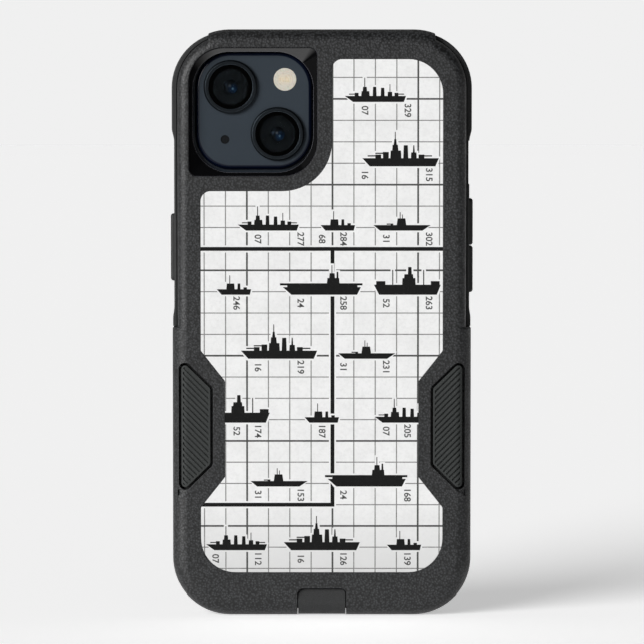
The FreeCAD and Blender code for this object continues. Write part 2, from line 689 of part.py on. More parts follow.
def ring_switch():
    """Sliding lever of the handset, at the screen end of its slot."""
    outline = switch_slot(SWITCH_LENGTH, SWITCH_HEIGHT, SWITCH_TRAVEL / 2)
    inner = HANDSET_HALF - SWITCH_SLOT_DEPTH + BUTTON_FIT
    return prism(outline, "X", inner, HANDSET_HALF + SWITCH_PROUD)


def port_cover():
    """Flap round the lower edge of the back, with a plug and a round hinge at the screen side."""
    half = FLAP_WIDTH / 2
    outer_y = BACK_Y + FLAP_RECESS
    inner_y = SLEEVE_BACK_Y - BUTTON_FIT
    profile = [
        (HINGE_Y, FLAP_BOTTOM, 0.0),
        (HINGE_Y, FLAP_ROOF, 0.0),
        (inner_y, FLAP_ROOF, FLAP_INNER_ROUND),
        (inner_y, FLAP_TOP, SMALLEST_CORNER),
        (outer_y + FLAP_SCOOP, FLAP_TOP, SMALLEST_CORNER),
        (outer_y, FLAP_BREAK, SMALLEST_CORNER),
        (outer_y, FLAP_BOTTOM, FLAP_OUTER_ROUND),
    ]
    flap = prism(profile, "X", -half, half)
    sides = rectangle(-half, half, -BEYOND - FLAP_CORNER, FLAP_TOP, FLAP_CORNER)
    flap = flap.common(prism(sides, "Y", BACK_Y - BEYOND, FRONT_Y + BEYOND))
    neck_half = FLAP_NECK_WIDTH / 2
    beside_neck = rectangle(NECK_Y, HINGE_Y + BEYOND, -BEYOND, FLAP_TOP)
    for side in (-1, 1):
        flap = flap.cut(prism(beside_neck, "X", side * neck_half, side * (half + BEYOND)))
    hinge_end = Vector(-neck_half, HINGE_Y, HINGE_Z)
    roll = Part.makeCylinder(HINGE_RADIUS, FLAP_NECK_WIDTH, hinge_end, Vector(1, 0, 0))

    plug_half = PORT_OPENING_WIDTH / 2 - FLAP_FIT
    plug_reach = PORT_OPENING_HEIGHT / 2 - FLAP_FIT
    plug_outline = rectangle(
        -plug_half, plug_half, HANDSET_MID_Y - plug_reach, HANDSET_MID_Y + plug_reach, PORT_OPENING_CORNER,
    )
    plug = prism(plug_outline, "Z", HINGE_Z, SLEEVE_BOTTOM + PLUG_HEIGHT)
    wall_y = HINGE_Y - (HANDSET_MID_Y - PORT_OPENING_HEIGHT / 2)
    swing = math.hypot(wall_y, SLEEVE_BOTTOM - HINGE_Z) - FLAP_FIT
    sweep = Part.makeCylinder(swing, FLAP_WIDTH, Vector(-half, HINGE_Y, HINGE_Z), Vector(1, 0, 0))
    return flap.fuse([roll, plug.common(sweep)]).removeSplitter()


def handset_frame():
    """Metal body of the handset between its two glasses, with the pockets of its keys and ports."""
    low = HANDSET_BACK_Y + GLASS_THICKNESS
    frame = prism(around_handset(0.0), "Y", low, HANDSET_FRONT_Y - GLASS_THICKNESS)
    cuts = []
    for cover, key, side, key_low, key_high, key_length in BUTTONS:
        floor = HANDSET_HALF - KEY_ROOT - BUTTON_TRAVEL - BUTTON_FIT
        outline = key_outline(key_low, key_high, key_length)
        cuts.append(prism(outline, "X", side * floor, side * (HANDSET_HALF + BEYOND), BUTTON_FIT))
    slot = switch_slot(SWITCH_SLOT_LENGTH, SWITCH_HEIGHT + SWITCH_TRAVEL + 2 * BUTTON_FIT)
    cuts.append(prism(slot, "X", HANDSET_HALF - SWITCH_SLOT_DEPTH, HANDSET_HALF + BEYOND))
    below = HANDSET_BOTTOM - BEYOND
    port = bar(0.0, HANDSET_MID_Y, PORT_WIDTH, PORT_HEIGHT)
    cuts.append(prism(port, "Z", below, HANDSET_BOTTOM + PORT_DEPTH))
    for side in (-1, 1):
        mesh = speaker_bar(side, MESH_LENGTH, MESH_HEIGHT)
        cuts.append(prism(mesh, "Z", below, HANDSET_BOTTOM + MESH_DROP + MESH_THICKNESS))
        seat = Vector(side * SCREW_X, HANDSET_MID_Y, below)
        cuts.append(Part.makeCylinder(SCREW_RADIUS + INSERT_FIT, BEYOND + SCREW_DEPTH, seat))
    return frame.cut(cuts)


def handset_back_glass():
    """Back glass of the handset."""
    high = HANDSET_BACK_Y + GLASS_THICKNESS
    glass = prism(around_handset(-GLASS_INSET), "Y", HANDSET_BACK_Y, high)
    return round_rim(glass, "Y", HANDSET_BACK_Y, GLASS_ROUND)


def earpiece_outline():
    """Outline of the earpiece slit in the display glass."""
    return bar(0.0, HANDSET_TOP - EARPIECE_FROM_TOP, EARPIECE_LENGTH, EARPIECE_HEIGHT)


def display_glass():
    """Display glass, with the earpiece slit and the hole for the front camera."""
    low = HANDSET_FRONT_Y - GLASS_THICKNESS
    glass = prism(around_handset(-GLASS_INSET), "Y", low, HANDSET_FRONT_Y)
    glass = round_rim(glass, "Y", HANDSET_FRONT_Y, GLASS_ROUND)
    slit = prism(earpiece_outline(), "Y", low - BEYOND, HANDSET_FRONT_Y + BEYOND)
    hole = disc(
        FRONT_CAMERA_RADIUS, FRONT_CAMERA_X, HANDSET_TOP - EARPIECE_FROM_TOP,
        low - BEYOND, HANDSET_FRONT_Y + BEYOND,
    )
    return glass.cut([slit, hole])


def earpiece_grille():
    """Fine grille in the earpiece slit."""
    low = HANDSET_FRONT_Y - GLASS_THICKNESS
    return prism(earpiece_outline(), "Y", low, HANDSET_FRONT_Y - EARPIECE_DROP, -INSERT_FIT)


def front_camera():
    """Small lens of the front camera, level with the display glass."""
    low = HANDSET_FRONT_Y - GLASS_THICKNESS
    radius = FRONT_CAMERA_RADIUS - INSERT_FIT
    return disc(radius, FRONT_CAMERA_X, HANDSET_TOP - EARPIECE_FROM_TOP, low, HANDSET_FRONT_Y)


def camera_plate():
    """Raised plate of the rear camera, bored for the lenses, the flash and the microphone."""
    outline = square(CAMERA_X, CAMERA_Z, CAMERA_PLATE, CAMERA_PLATE_CORNER)
    plate = prism(outline, "Y", PLATE_Y, HANDSET_BACK_Y)
    plate = round_rim(plate, "Y", PLATE_Y, CAMERA_PLATE_ROUND)
    outside = PLATE_Y - BEYOND
    cuts = [
        disc(FLASH_RADIUS, FLASH_X, FLASH_Z, outside, PLATE_Y + FLASH_DEPTH),
        disc(MICROPHONE_RADIUS, MICROPHONE_X, MICROPHONE_Z, outside, PLATE_Y + MICROPHONE_DEPTH),
    ]
    for x, z in LENSES.values():
        cuts.append(disc(LENS_BORE, x, z, outside, HANDSET_BACK_Y + BEYOND))
    return plate.cut(cuts)


def lens_ring(x, z):
    """Ring that stands on the camera plate round a lens."""
    ring = disc(LENS_RING_RADIUS, x, z, LENS_TOP_Y, PLATE_Y)
    ring = bevel_rim(ring, "Y", LENS_TOP_Y, LENS_RING_BEVEL)
    return ring.cut(disc(LENS_BORE, x, z, LENS_TOP_Y - BEYOND, PLATE_Y + BEYOND))


def lens_glass(x, z):
    """Flat cover glass, a little below the top of the ring."""
    low = LENS_TOP_Y + LENS_GLASS_DROP
    return disc(LENS_BORE - INSERT_FIT, x, z, low, low + LENS_GLASS_THICKNESS)


def lens_barrel(x, z):
    """Stepped funnel between the cover glass and the front element."""
    barrel = disc(LENS_BORE - INSERT_FIT, x, z, BARREL_Y, HANDSET_BACK_Y)
    for step in range(1, LENS_BARREL_STEPS + 1):
        radius = LENS_BORE - step * LENS_BARREL_WIDTH
        barrel = barrel.cut(disc(radius, x, z, BARREL_Y - BEYOND, BARREL_Y + step * LENS_BARREL_STEP))
    return barrel


def lens_element(x, z):
    """Domed front element on the floor of the funnel."""
    dome = (LENS_ELEMENT_RADIUS ** 2 + LENS_ELEMENT_HEIGHT ** 2) / (2 * LENS_ELEMENT_HEIGHT)
    ball = Part.makeSphere(dome, Vector(x, BARREL_FLOOR_Y - LENS_ELEMENT_HEIGHT + dome, z))
    return ball.common(disc(dome, x, z, BARREL_FLOOR_Y - dome, BARREL_FLOOR_Y))


def flash_diffuser():
    """Lens of the flash, level with the camera plate."""
    return disc(FLASH_RADIUS - INSERT_FIT, FLASH_X, FLASH_Z, PLATE_Y, PLATE_Y + FLASH_DEPTH)


def rear_microphone():
    """Mesh in the small microphone hole of the camera plate."""
    low = PLATE_Y + MICROPHONE_DEPTH / 2
    return disc(MICROPHONE_RADIUS - INSERT_FIT, MICROPHONE_X, MICROPHONE_Z, low, PLATE_Y + MICROPHONE_DEPTH)


def charging_port():
    """Lined socket with a contact tongue, in the lower end of the handset."""
    high = HANDSET_BOTTOM + PORT_DEPTH
    socket = prism(bar(0.0, HANDSET_MID_Y, PORT_WIDTH, PORT_HEIGHT), "Z", HANDSET_BOTTOM, high, -INSERT_FIT)
    bore = bar(0.0, HANDSET_MID_Y, PORT_WIDTH - 2 * PORT_LINING, PORT_HEIGHT - 2 * PORT_LINING)
    socket = socket.cut(prism(bore, "Z", HANDSET_BOTTOM - BEYOND, high - PORT_LINING))
    tongue = rectangle(
        -TONGUE_WIDTH / 2, TONGUE_WIDTH / 2,
        HANDSET_MID_Y - TONGUE_HEIGHT / 2, HANDSET_MID_Y + TONGUE_HEIGHT / 2,
    )
    tongue = prism(tongue, "Z", HANDSET_BOTTOM + TONGUE_SHORT, high - PORT_LINING / 2)
    return socket.fuse(tongue).removeSplitter()


def speaker_mesh():
    """Two mesh inserts beside the charging port."""
    low = HANDSET_BOTTOM + MESH_DROP
    inserts = [
        prism(speaker_bar(side, MESH_LENGTH, MESH_HEIGHT), "Z", low, low + MESH_THICKNESS, -INSERT_FIT)
        for side in (-1, 1)
    ]
    return Part.makeCompound(inserts)


def port_screws():
    """Two slotted screw heads beside the charging port."""
    heads = []
    for side in (-1, 1):
        base = Vector(side * SCREW_X, HANDSET_MID_Y, HANDSET_BOTTOM)
        head = Part.makeCylinder(SCREW_RADIUS, SCREW_DEPTH, base)
        for length, height in ((SCREW_RADIUS, SCREW_SLOT), (SCREW_SLOT, SCREW_RADIUS)):
            slot = rectangle(
                side * SCREW_X - length / 2, side * SCREW_X + length / 2,
                HANDSET_MID_Y - height / 2, HANDSET_MID_Y + height / 2,
            )
            head = head.cut(prism(slot, "Z", HANDSET_BOTTOM - BEYOND, HANDSET_BOTTOM + SCREW_DEPTH / 2))
        heads.append(head)
    return Part.makeCompound(heads)


def sub_parts():
    """Every piece of the case and of the handset, by name."""
    pad = grip_pad()
    pieces = {
        "outer_shell": outer_shell(),
        "back_panel": back_panel(),
        "panel_adhesive": panel_adhesive(),
        "camera_bezel": camera_bezel(),
        "inner_sleeve": inner_sleeve(),
        "grip_pad_right": pad,
        "grip_pad_left": other_side(pad),
        "port_cover": port_cover(),
        "handset_frame": handset_frame(),
        "handset_back_glass": handset_back_glass(),
        "display_glass": display_glass(),
        "earpiece_grille": earpiece_grille(),
        "front_camera": front_camera(),
        "camera_plate": camera_plate(),
        "flash_diffuser": flash_diffuser(),
        "rear_microphone": rear_microphone(),
        "ring_switch": ring_switch(),
        "charging_port": charging_port(),
        "speaker_mesh": speaker_mesh(),
        "port_screws": port_screws(),
    }
    for place, (x, z) in LENSES.items():
        pieces["lens_ring_" + place] = lens_ring(x, z)
        pieces["lens_glass_" + place] = lens_glass(x, z)
        pieces["lens_barrel_" + place] = lens_barrel(x, z)
        pieces["lens_element_" + place] = lens_element(x, z)
    for cover, key, side, low, high, key_length in BUTTONS:
        pieces[cover] = button_cover(side, low, high, key_length)
        pieces[key] = handset_key(side, low, high, key_length)
    return pieces


def main():
    """Write one file for each piece."""
    os.makedirs("parts", exist_ok=True)
    for name, shape in sub_parts().items():
        shape.exportStep("parts/" + name + ".step")
        print(name, len(shape.Solids), round(shape.Volume, 2), shape.isValid())


main()
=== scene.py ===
"""Finishes for a two-layer phone case, which stands on its lower end with a handset in it.

A chart of a fleet is printed on the sheet in its back.
"""

import math
from functools import partial

import bmesh
import bpy
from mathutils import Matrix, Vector


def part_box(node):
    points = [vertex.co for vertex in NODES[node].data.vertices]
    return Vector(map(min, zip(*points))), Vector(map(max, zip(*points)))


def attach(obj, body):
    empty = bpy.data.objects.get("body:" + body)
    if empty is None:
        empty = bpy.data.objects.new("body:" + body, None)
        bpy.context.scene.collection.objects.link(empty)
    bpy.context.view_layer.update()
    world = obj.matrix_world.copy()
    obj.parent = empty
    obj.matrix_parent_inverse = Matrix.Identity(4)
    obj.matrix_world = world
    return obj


bl_info = {
    "name": "Fleet chart case",
    "version": (1, 0, 0),
    "blender": (4, 5, 0),
    "location": "View3D > Sidebar > Case",
    "description": "Finishes, printed chart and studio for a two-layer phone case",
    "category": "Object",
}

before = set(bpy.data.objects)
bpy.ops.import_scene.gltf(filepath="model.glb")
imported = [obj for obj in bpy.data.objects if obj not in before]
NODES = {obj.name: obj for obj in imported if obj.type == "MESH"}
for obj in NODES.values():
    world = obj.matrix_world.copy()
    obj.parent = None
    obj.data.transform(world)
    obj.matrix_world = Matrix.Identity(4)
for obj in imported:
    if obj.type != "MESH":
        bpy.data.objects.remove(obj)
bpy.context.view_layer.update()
MM = 0.001
PANEL_LOW, PANEL_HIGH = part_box("back_panel")
SHELL_BODY = "shell"
ORIGIN = (0.0, 0.0, 0.0)
# Stretch that flattens coordinates into the plane of the back
ON_BACK = (1.0, 0.0, 1.0)

# Ships of the chart, in millimetres from the bow and from the keel. Each has the number of its
# class, its hull's length and height, the rake of its bow and stern, the blocks that rise from its
# deck (start, end, height, taper), and its guns (side, place, lower edge, upper edge, length).
SHIPS = {
    "battleship": {
        "class": "16", "hull": (20.0, 2.12), "rake": (1.95, 0.92),
        "rises": [
            (3.4, 4.9, 0.94, 1.0), (5.4, 6.9, 1.62, 1.0), (7.3, 10.2, 2.0, 0.92),
            (7.8, 9.4, 1.5, 0.85), (8.2, 9.0, 1.5, 0.6), (8.5, 8.72, 1.88, 1.0),
            (10.7, 12.0, 3.38, 0.8), (12.7, 14.2, 1.5, 0.9), (13.2, 13.7, 1.88, 0.5),
            (14.7, 16.2, 0.94, 1.0),
        ],
        "guns": [
            (-1, 3.4, 2.56, 2.88, 2.0), (-1, 5.4, 3.25, 3.56, 2.0), (1, 16.2, 2.56, 2.88, 2.0),
        ],
    },
    "carrier": {
        "class": "24", "hull": (20.5, 2.0), "rake": (2.3, 1.03),
        "rises": [
            (1.2, 19.6, 1.0, 1.0), (11.6, 14.9, 1.38, 0.92), (12.2, 13.7, 1.25, 0.85),
            (12.8, 13.02, 2.12, 1.0), (14.1, 14.6, 1.62, 0.8),
        ],
        "guns": [(-1, 1.2, 2.44, 3.0, 1.9), (1, 19.6, 2.44, 3.0, 1.3)],
    },
    "destroyer": {
        "class": "07", "hull": (16.0, 1.56), "rake": (2.18, 0.57),
        "rises": [
            (2.6, 3.6, 0.81, 1.0), (4.3, 6.5, 1.25, 0.92), (4.7, 5.8, 1.12, 0.85),
            (5.1, 5.32, 2.38, 1.0), (7.3, 8.3, 2.38, 0.82), (9.4, 10.4, 2.12, 0.82),
            (11.2, 12.4, 1.06, 0.92), (11.7, 11.9, 2.0, 1.0), (13.0, 14.0, 0.81, 1.0),
        ],
        "guns": [(-1, 2.6, 1.9, 2.17, 1.5), (1, 14.0, 1.9, 2.17, 1.5)],
    },
    "submarine": {
        "class": "31", "hull": (15.0, 1.44), "rake": (1.72, 2.18),
        "rises": [
            (4.5, 5.2, 0.4, 1.0), (6.1, 8.6, 1.75, 0.8), (6.9, 7.1, 1.62, 1.0),
            (7.5, 7.68, 1.0, 1.0),
        ],
        "guns": [(-1, 4.5, 1.56, 1.79, 1.0)],
    },
    "freighter": {
        "class": "52", "hull": (17.5, 2.62), "rake": (1.38, 1.03),
        "rises": [
            (0.6, 3.0, 0.94, 1.0), (4.8, 5.06, 3.88, 1.0), (7.4, 10.9, 1.75, 0.96),
            (7.9, 10.3, 1.0, 0.93), (8.9, 9.9, 1.88, 0.85), (12.9, 13.16, 3.88, 1.0),
            (14.9, 17.2, 0.94, 1.0),
        ],
        "guns": [],
    },
    "launch": {
        "class": "68", "hull": (9.0, 1.44), "rake": (1.26, 0.34),
        "rises": [
            (2.5, 4.7, 1.5, 0.88), (3.3, 3.5, 2.12, 1.0), (5.4, 6.2, 1.5, 0.82),
            (7.0, 7.9, 0.5, 1.0),
        ],
        "guns": [],
    },
}

# Ship, middle and keel of each place on the chart, in millimetres, and the number printed beside it
FLEET = [
    ("destroyer", -22.4, 17.4, "112"), ("battleship", 0.0, 17.4, "126"),
    ("launch", 21.6, 17.4, "139"),
    ("submarine", -11.2, 34.2, "153"), ("carrier", 11.8, 34.2, "168"),
    ("freighter", -22.4, 51.0, "174"), ("launch", 0.0, 51.0, "187"),
    ("destroyer", 21.8, 51.0, "205"),
    ("battleship", -11.2, 67.8, "219"), ("submarine", 11.8, 67.8, "231"),
    ("launch", -23.0, 84.6, "246"), ("carrier", 0.0, 84.6, "258"),
    ("freighter", 22.4, 84.6, "263"),
    ("destroyer", -14.0, 101.4, "277"), ("launch", 4.2, 101.4, "284"),
    ("submarine", 21.0, 101.4, "302"),
    ("battleship", 20.6, 118.2, "315"),
    ("destroyer", 14.0, 135.0, "329"),
]

# Thick borders of the chart in millimetres: left, right, bottom, top
BORDERS = [
    (-60.0, 60.0, 96.1, 97.1),
    (2.3, 3.3, 29.9, 96.1),
    (-60.0, 3.3, 28.9, 29.9),
]

# Panel between the grips: half width, heights in millimetres, and the columns out from the middle
# in which a number may stand there and elsewhere
WAIST = 25.3 * MM
WAIST_LOW, WAIST_HIGH = 26.0, 72.0
WAIST_COLUMNS, WIDE_COLUMNS = 4, 5

# Places of the numbers in millimetres: in from a ship's stern and bow, and below its keel
FROM_STERN, FROM_BOW, BELOW_KEEL = 2.0, 3.0, 2.2
# How far the strokes of a number are swollen, as a share of its height
NUMERAL_SWELL = 0.018

# Lines from one heavy line to the next, and how far past the sheet the grid starts, in millimetres
HEAVY_EVERY = 4
GRID_MARGIN = 1.0
# Material slots of the grid
FINE_INK, HEAVY_INK, BORDER_INK = range(3)

# Distances in metres for points that are one and for faces on a deck or a turret, and the least
# share of a normal along an axis for a face that looks that way
MERGE = 1e-7
ON_DECK = 1e-6
ON_TURRET = 0.1 * MM
FACING = 0.9

# Range that most of a noise lies in
NOISE_SPAN = (0.3, 0.7)
# Height over which the foot of the sheet fades, in metres
FOOT_FADE = 0.019
# Places across the bezel, and slopes of its facets, between which its polish comes in
POLISH_ACROSS = (-0.036, -0.028)
POLISH_SLOPE = (-0.15, -0.35)
DULL_SHINE, POLISHED_SHINE = 0.006, 0.52
# Half the distance between the two emitters of the flash, in metres
EMITTER_OFFSET = 0.0007

# Colours of small pieces and of marks in a finish, which have no property of their own
WHITE = (1.0, 1.0, 1.0, 1.0)
WORN_BLACK = (0.05, 0.05, 0.05)
FILM_THIN, FILM_THICK = (0.5, 0.49, 0.45, 1.0), (0.66, 0.65, 0.61, 1.0)
LENS_RING = (0.015, 0.019, 0.023)
MICROPHONE = (0.004, 0.005, 0.006)
PLATE_EDGE = (0.002, 0.004, 0.012, 1.0)
COVER_CLEAR, COVER_DUST = (0.72, 0.76, 0.8, 1.0), (0.5, 0.52, 0.55, 1.0)
BARREL_GROOVE_SHADE, BARREL_RIDGE = (0.008, 0.011, 0.012, 1.0), (0.018, 0.023, 0.025, 1.0)
LENS_DARK, LENS_TINT = (0.004, 0.006, 0.007, 1.0), (0.55, 0.7, 1.0, 1.0)
FLASH_MILK, FLASH_WARM = (0.52, 0.48, 0.40, 1.0), (0.70, 0.56, 0.35, 1.0)
FLASH_SPARKLE = (0.78, 0.74, 0.66, 1.0)
BACK_GLASS = (0.018, 0.024, 0.032)
DISPLAY = (0.0022, 0.0023, 0.0026)
FRONT_LENS = (0.002, 0.004, 0.01)
EARPIECE = (0.03, 0.031, 0.033)
SPEAKER = (0.045, 0.046, 0.05)
STEEL = (0.42, 0.42, 0.43)

# Painted blue reflection of the coating (glow) and painted highlights (spark, glint) in the colour
# of a lens's front element: offset across and up, radius in metres, and colour
LENS_PAINTED_LIGHTS = {
    "glow": (0.0008, -0.0006, 0.0016, (0.008, 0.045, 0.11, 1.0)),
    "spark": (0.0006, -0.0005, 0.0004, (0.3, 0.48, 0.6, 1.0)),
    "glint": (-0.0002, 0.0003, 0.0005, (0.16, 0.17, 0.18, 1.0)),
}

# Studio: the camera's target, its sensor in millimetres and how far it sees, the floor, the main
# light and the surroundings overhead
CAMERA_TARGET = (0.00006, 0.0, 0.0771)
SENSOR = 36.0
SIGHT = 50.0
FLOOR_SIZE, FLOOR_PLACE = 24.0, (0.0, 9.0, 0.0)
FLOOR_MATT, FLOOR_GLOW = (0.87, 0.87, 0.87, 1.0), 0.437
KEY_PLACE, KEY_WIDTH = (-0.7, -0.7, 0.31), math.radians(40.0)
OVERHEAD = 0.06
# Heights at which the surroundings dim and depths at which the backdrop begins, on a unit sphere
DIMMING = (0.05, 0.6)
BEHIND = (0.1, 0.3)


def scaled(colour, factor=1.0):
    """Colour times a factor, with an alpha of one, as the shader sockets take it."""
    return tuple(min(1.0, channel * factor) for channel in colour[:3]) + (1.0,)


def node(tree, kind, values=None, **settings):
    """New shader node with its settings and its fixed inputs."""
    made = tree.nodes.new("ShaderNode" + kind)
    for key, value in settings.items():
        setattr(made, key, value)
    for key, value in (values or {}).items():
        made.inputs[key].default_value = value
    return made


def link(source, target):
    """Link from an output to an input of the same tree."""
    source.id_data.links.new(source, target)


def new_finish(name, roughness, **sockets):
    """Material with a principled shader, whose fixed values are set on its own sockets."""
    finish = bpy.data.materials.new(name)
    finish.use_nodes = True
    shader = finish.node_tree.nodes["Principled BSDF"]
    shader.inputs["Roughness"].default_value = roughness
    for key, value in sockets.items():
        shader.inputs[key.replace("_", " ")].default_value = value
    return finish, finish.node_tree


def finished(finish, **sources):
    """Finish with outputs linked to the sockets of its shader."""
    shader = finish.node_tree.nodes["Principled BSDF"]
    for key, source in sources.items():
        link(source, shader.inputs[key.replace("_", " ")])
    return finish


def coordinates(tree, centre=ORIGIN, stretch=(1.0, 1.0, 1.0)):
    """Object coordinates, counted from a centre and stretched along the axes."""
    offset = tuple(-place * factor for place, factor in zip(centre, stretch))
    mapping = node(tree, "Mapping", {"Location": offset, "Scale": stretch})
    link(node(tree, "TexCoord").outputs["Object"], mapping.inputs["Vector"])
    return mapping.outputs["Vector"]


def split(vector):
    """Values of a vector along the axes X, Y and Z."""
    axes = node(vector.id_data, "SeparateXYZ")
    link(vector, axes.inputs[0])
    return axes.outputs


def distance(vector):
    """Length of a vector."""
    length = node(vector.id_data, "VectorMath", operation="LENGTH")
    link(vector, length.inputs[0])
    return length.outputs["Value"]


def noise(vector, size, detail=2.0, roughness=0.5):
    """Noise whose features are about as large as a size in metres."""
    values = {"Scale": 1.0 / size, "Detail": detail, "Roughness": roughness}
    texture = node(vector.id_data, "TexNoise", values)
    link(vector, texture.inputs["Vector"])
    return texture.outputs[0]


def cells(vector, size, randomness):
    """Distance from the middle of the nearest cell, for cells of a size in metres."""
    values = {"Scale": 1.0 / size, "Randomness": randomness}
    texture = node(vector.id_data, "TexVoronoi", values)
    link(vector, texture.inputs["Vector"])
    return texture.outputs["Distance"]


def spread(value, before, after=(0.0, 1.0)):
    """Value mapped from one range to another, held at the ends."""
    mapped = node(value.id_data, "MapRange", dict(enumerate(before + after, 1)))
    link(value, mapped.inputs[0])
    return mapped.outputs[0]


def math_node(operation, first, second):
    """Operation on a socket and on another socket or a number."""
    made = node(first.id_data, "Math", operation=operation)
    link(first, made.inputs[0])
    if isinstance(second, float):
        made.inputs[1].default_value = second
    else:
        link(second, made.inputs[1])
    return made.outputs[0]


def mixed(factor, first, second):
    """Colour between two colours, each a socket or a tuple."""
    made = node(factor.id_data, "Mix", data_type="RGBA")
    link(factor, made.inputs[0])
    for index, value in ((6, first), (7, second)):
        if isinstance(value, tuple):
            made.inputs[index].default_value = value
        else:
            link(value, made.inputs[index])
    return made.outputs[2]


def shaded(factor, colour, low, high):
    """Colour that varies between two strengths."""
    return mixed(factor, scaled(colour, low), scaled(colour, high))


def shader_mix(factor, first, second):
    """Shader between two shaders."""
    made = node(factor.id_data, "MixShader")
    for index, source in enumerate((factor, first, second)):
        link(source, made.inputs[index])
    return made.outputs[0]


def rounded_edges(tree, radius):
    """Normal of a surface whose edges are eased by a radius."""
    return node(tree, "Bevel", {"Radius": radius}, samples=6).outputs["Normal"]


def relief(height, depth, strength=1.0, ease=None):
    """Bumps of a depth in metres from a height of zero to one, on edges eased by a radius."""
    bump = node(height.id_data, "Bump", {"Strength": strength, "Distance": depth})
    link(height, bump.inputs["Height"])
    if ease:
        link(rounded_edges(height.id_data, ease), bump.inputs["Normal"])
    return bump.outputs["Normal"]


def edge_wear_and_highlight(tree, radius):
    """Mask that is one on sharp edges and zero on flat faces."""
    dot = node(tree, "VectorMath", operation="DOT_PRODUCT")
    link(rounded_edges(tree, radius), dot.inputs[0])
    link(node(tree, "NewGeometry").outputs["Normal"], dot.inputs[1])
    return spread(dot.outputs["Value"], (0.985, 0.8))


def rings(tree, centre, pitch):
    """Waves in rings about a point, in the plane of the back."""
    radius = distance(coordinates(tree, centre, ON_BACK))
    turns = math_node("MULTIPLY", radius, 2.0 * math.pi / pitch)
    return spread(math_node("SINE", turns, 0.0), (-1.0, 1.0))


def dress(finish, *names):
    """Give solids of the frame their finish."""
    for name in names:
        slots = NODES[name].data.materials
        slots.clear()
        slots.append(finish)


def middle(name):
    """Middle of a solid of the frame."""
    low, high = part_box(name)
    return tuple((low + high) / 2)


def moulded_finish(name, colour, roughness, grain, depth, specks, wear_and_highlight, shine=0.3):
    """Moulded plastic or rubber: grain with painted highlight on its tops and painted shade in its
    pits, uneven gloss, and edges lighter, partly worn and partly a painted highlight.
    """
    finish, tree = new_finish(name, roughness, Specular_IOR_Level=shine)
    vector = coordinates(tree)
    cloud = noise(vector, size=0.012, detail=3.0)
    tone = shaded(spread(cloud, NOISE_SPAN), colour, 0.93, 1.07)
    pebble = spread(cells(vector, grain, randomness=1.0), (0.85, 0.05))
    # Painted light on the grain: its tops lighter as a painted highlight, its pits darker as
    # painted shade, at the strength of specks.
    for heights, factor in (((0.6, 0.85), 2.3), ((0.5, 0.25), 0.2)):
        tone = mixed(spread(pebble, heights, (0.0, specks)), tone, scaled(colour, factor))
    # Lighter edges, partly worn and partly a painted highlight.
    worn_and_highlit_edges = math_node("MULTIPLY", edge_wear_and_highlight(tree, radius=0.00025), wear_and_highlight)
    tone = mixed(worn_and_highlit_edges, tone, scaled(colour, 2.2))
    patches = noise(vector, size=grain * 6.0)
    gloss = spread(patches, NOISE_SPAN, (roughness - 0.07, roughness + 0.07))
    normal = relief(pebble, depth, ease=0.0002)
    return finished(finish, Base_Color=tone, Roughness=gloss, Normal=normal)


def gloss_finish(name, colour, roughness, edge=1.0, **sockets):
    """Polished surface with faint swirl marks, uneven colour and edges that may be lighter as a
    painted highlight.
    """
    finish, tree = new_finish(name, roughness, **sockets)
    cloud = noise(coordinates(tree), size=0.004, detail=4.0, roughness=0.65)
    tone = shaded(cloud, colour, 0.8, 1.2)
    # Lighter edges are a painted highlight; an edge of one leaves the colour as it is.
    tone = mixed(edge_wear_and_highlight(tree, radius=0.0003), tone, scaled(colour, edge))
    drawn_out = coordinates(tree, stretch=(1.0, 1.0, 0.08))
    swirl = noise(drawn_out, size=0.0004, detail=3.0, roughness=0.7)
    gloss = spread(swirl, (0.35, 0.7), (roughness * 0.7, roughness * 1.6))
    normal = rounded_edges(tree, radius=0.00015)
    return finished(finish, Base_Color=tone, Roughness=gloss, Normal=normal)


def anodised_finish(name, colour, roughness, grain=0.00012, edge=1.9):
    """Blasted and anodised metal with a fine even grain and bright edges, which are worn metal and,
    on the lens rings, a painted highlight.
    """
    finish, tree = new_finish(name, roughness, Metallic=0.85)
    vector = coordinates(tree)
    blast = noise(vector, grain, roughness=0.6)
    tone = shaded(noise(vector, size=0.006), colour, 0.9, 1.12)
    # Bright edges: worn metal, and a painted highlight where edge is large, as on the lens rings.
    tone = mixed(edge_wear_and_highlight(tree, radius=0.00012), tone, scaled(colour, edge))
    gloss = spread(blast, NOISE_SPAN, (roughness - 0.06, roughness + 0.08))
    normal = relief(blast, depth=0.000006, strength=0.6, ease=0.0001)
    return finished(finish, Base_Color=tone, Roughness=gloss, Normal=normal)


def woven_mesh_finish(name, colour, pitch):
    """Dark metal mesh: rows of round holes, painted nearly black as the shade inside them."""
    finish, tree = new_finish(name, 0.45, Metallic=0.7)
    wire = spread(cells(coordinates(tree), pitch, randomness=0.0), (0.26, 0.34))
    # The holes are painted nearly black as the shade inside them.
    tone = shaded(wire, colour, 0.08, 1.3)
    return finished(finish, Base_Color=tone, Normal=relief(wire, depth=0.00005))


def paper_finish(name, colour, foot_colour):
    """Printed sheet: fine fibres, faint stains, and a little greyer towards the foot."""
    finish, tree = new_finish(name, 0.7, Specular_IOR_Level=0.2)
    vector = coordinates(tree)
    foot = spread(split(vector)["Z"], (PANEL_LOW.z + FOOT_FADE, PANEL_LOW.z))
    tone = mixed(foot, scaled(colour), scaled(foot_colour))
    stain = noise(vector, size=0.007, detail=5.0, roughness=0.6)
    tone = mixed(spread(stain, (0.4, 0.75), (0.0, 0.55)), tone, scaled(colour, 0.86))
    fibre = noise(vector, size=0.0009, detail=4.0, roughness=0.7)
    tone = mixed(spread(fibre, (0.45, 0.8), (0.0, 0.6)), tone, scaled(colour, 0.8))
    tooth = noise(vector, size=0.0003, detail=3.0)
    gloss = spread(tooth, NOISE_SPAN, (0.64, 0.78))
    normal = relief(tooth, depth=0.000006, strength=0.7, ease=0.0001)
    return finished(finish, Base_Color=tone, Roughness=gloss, Normal=normal)


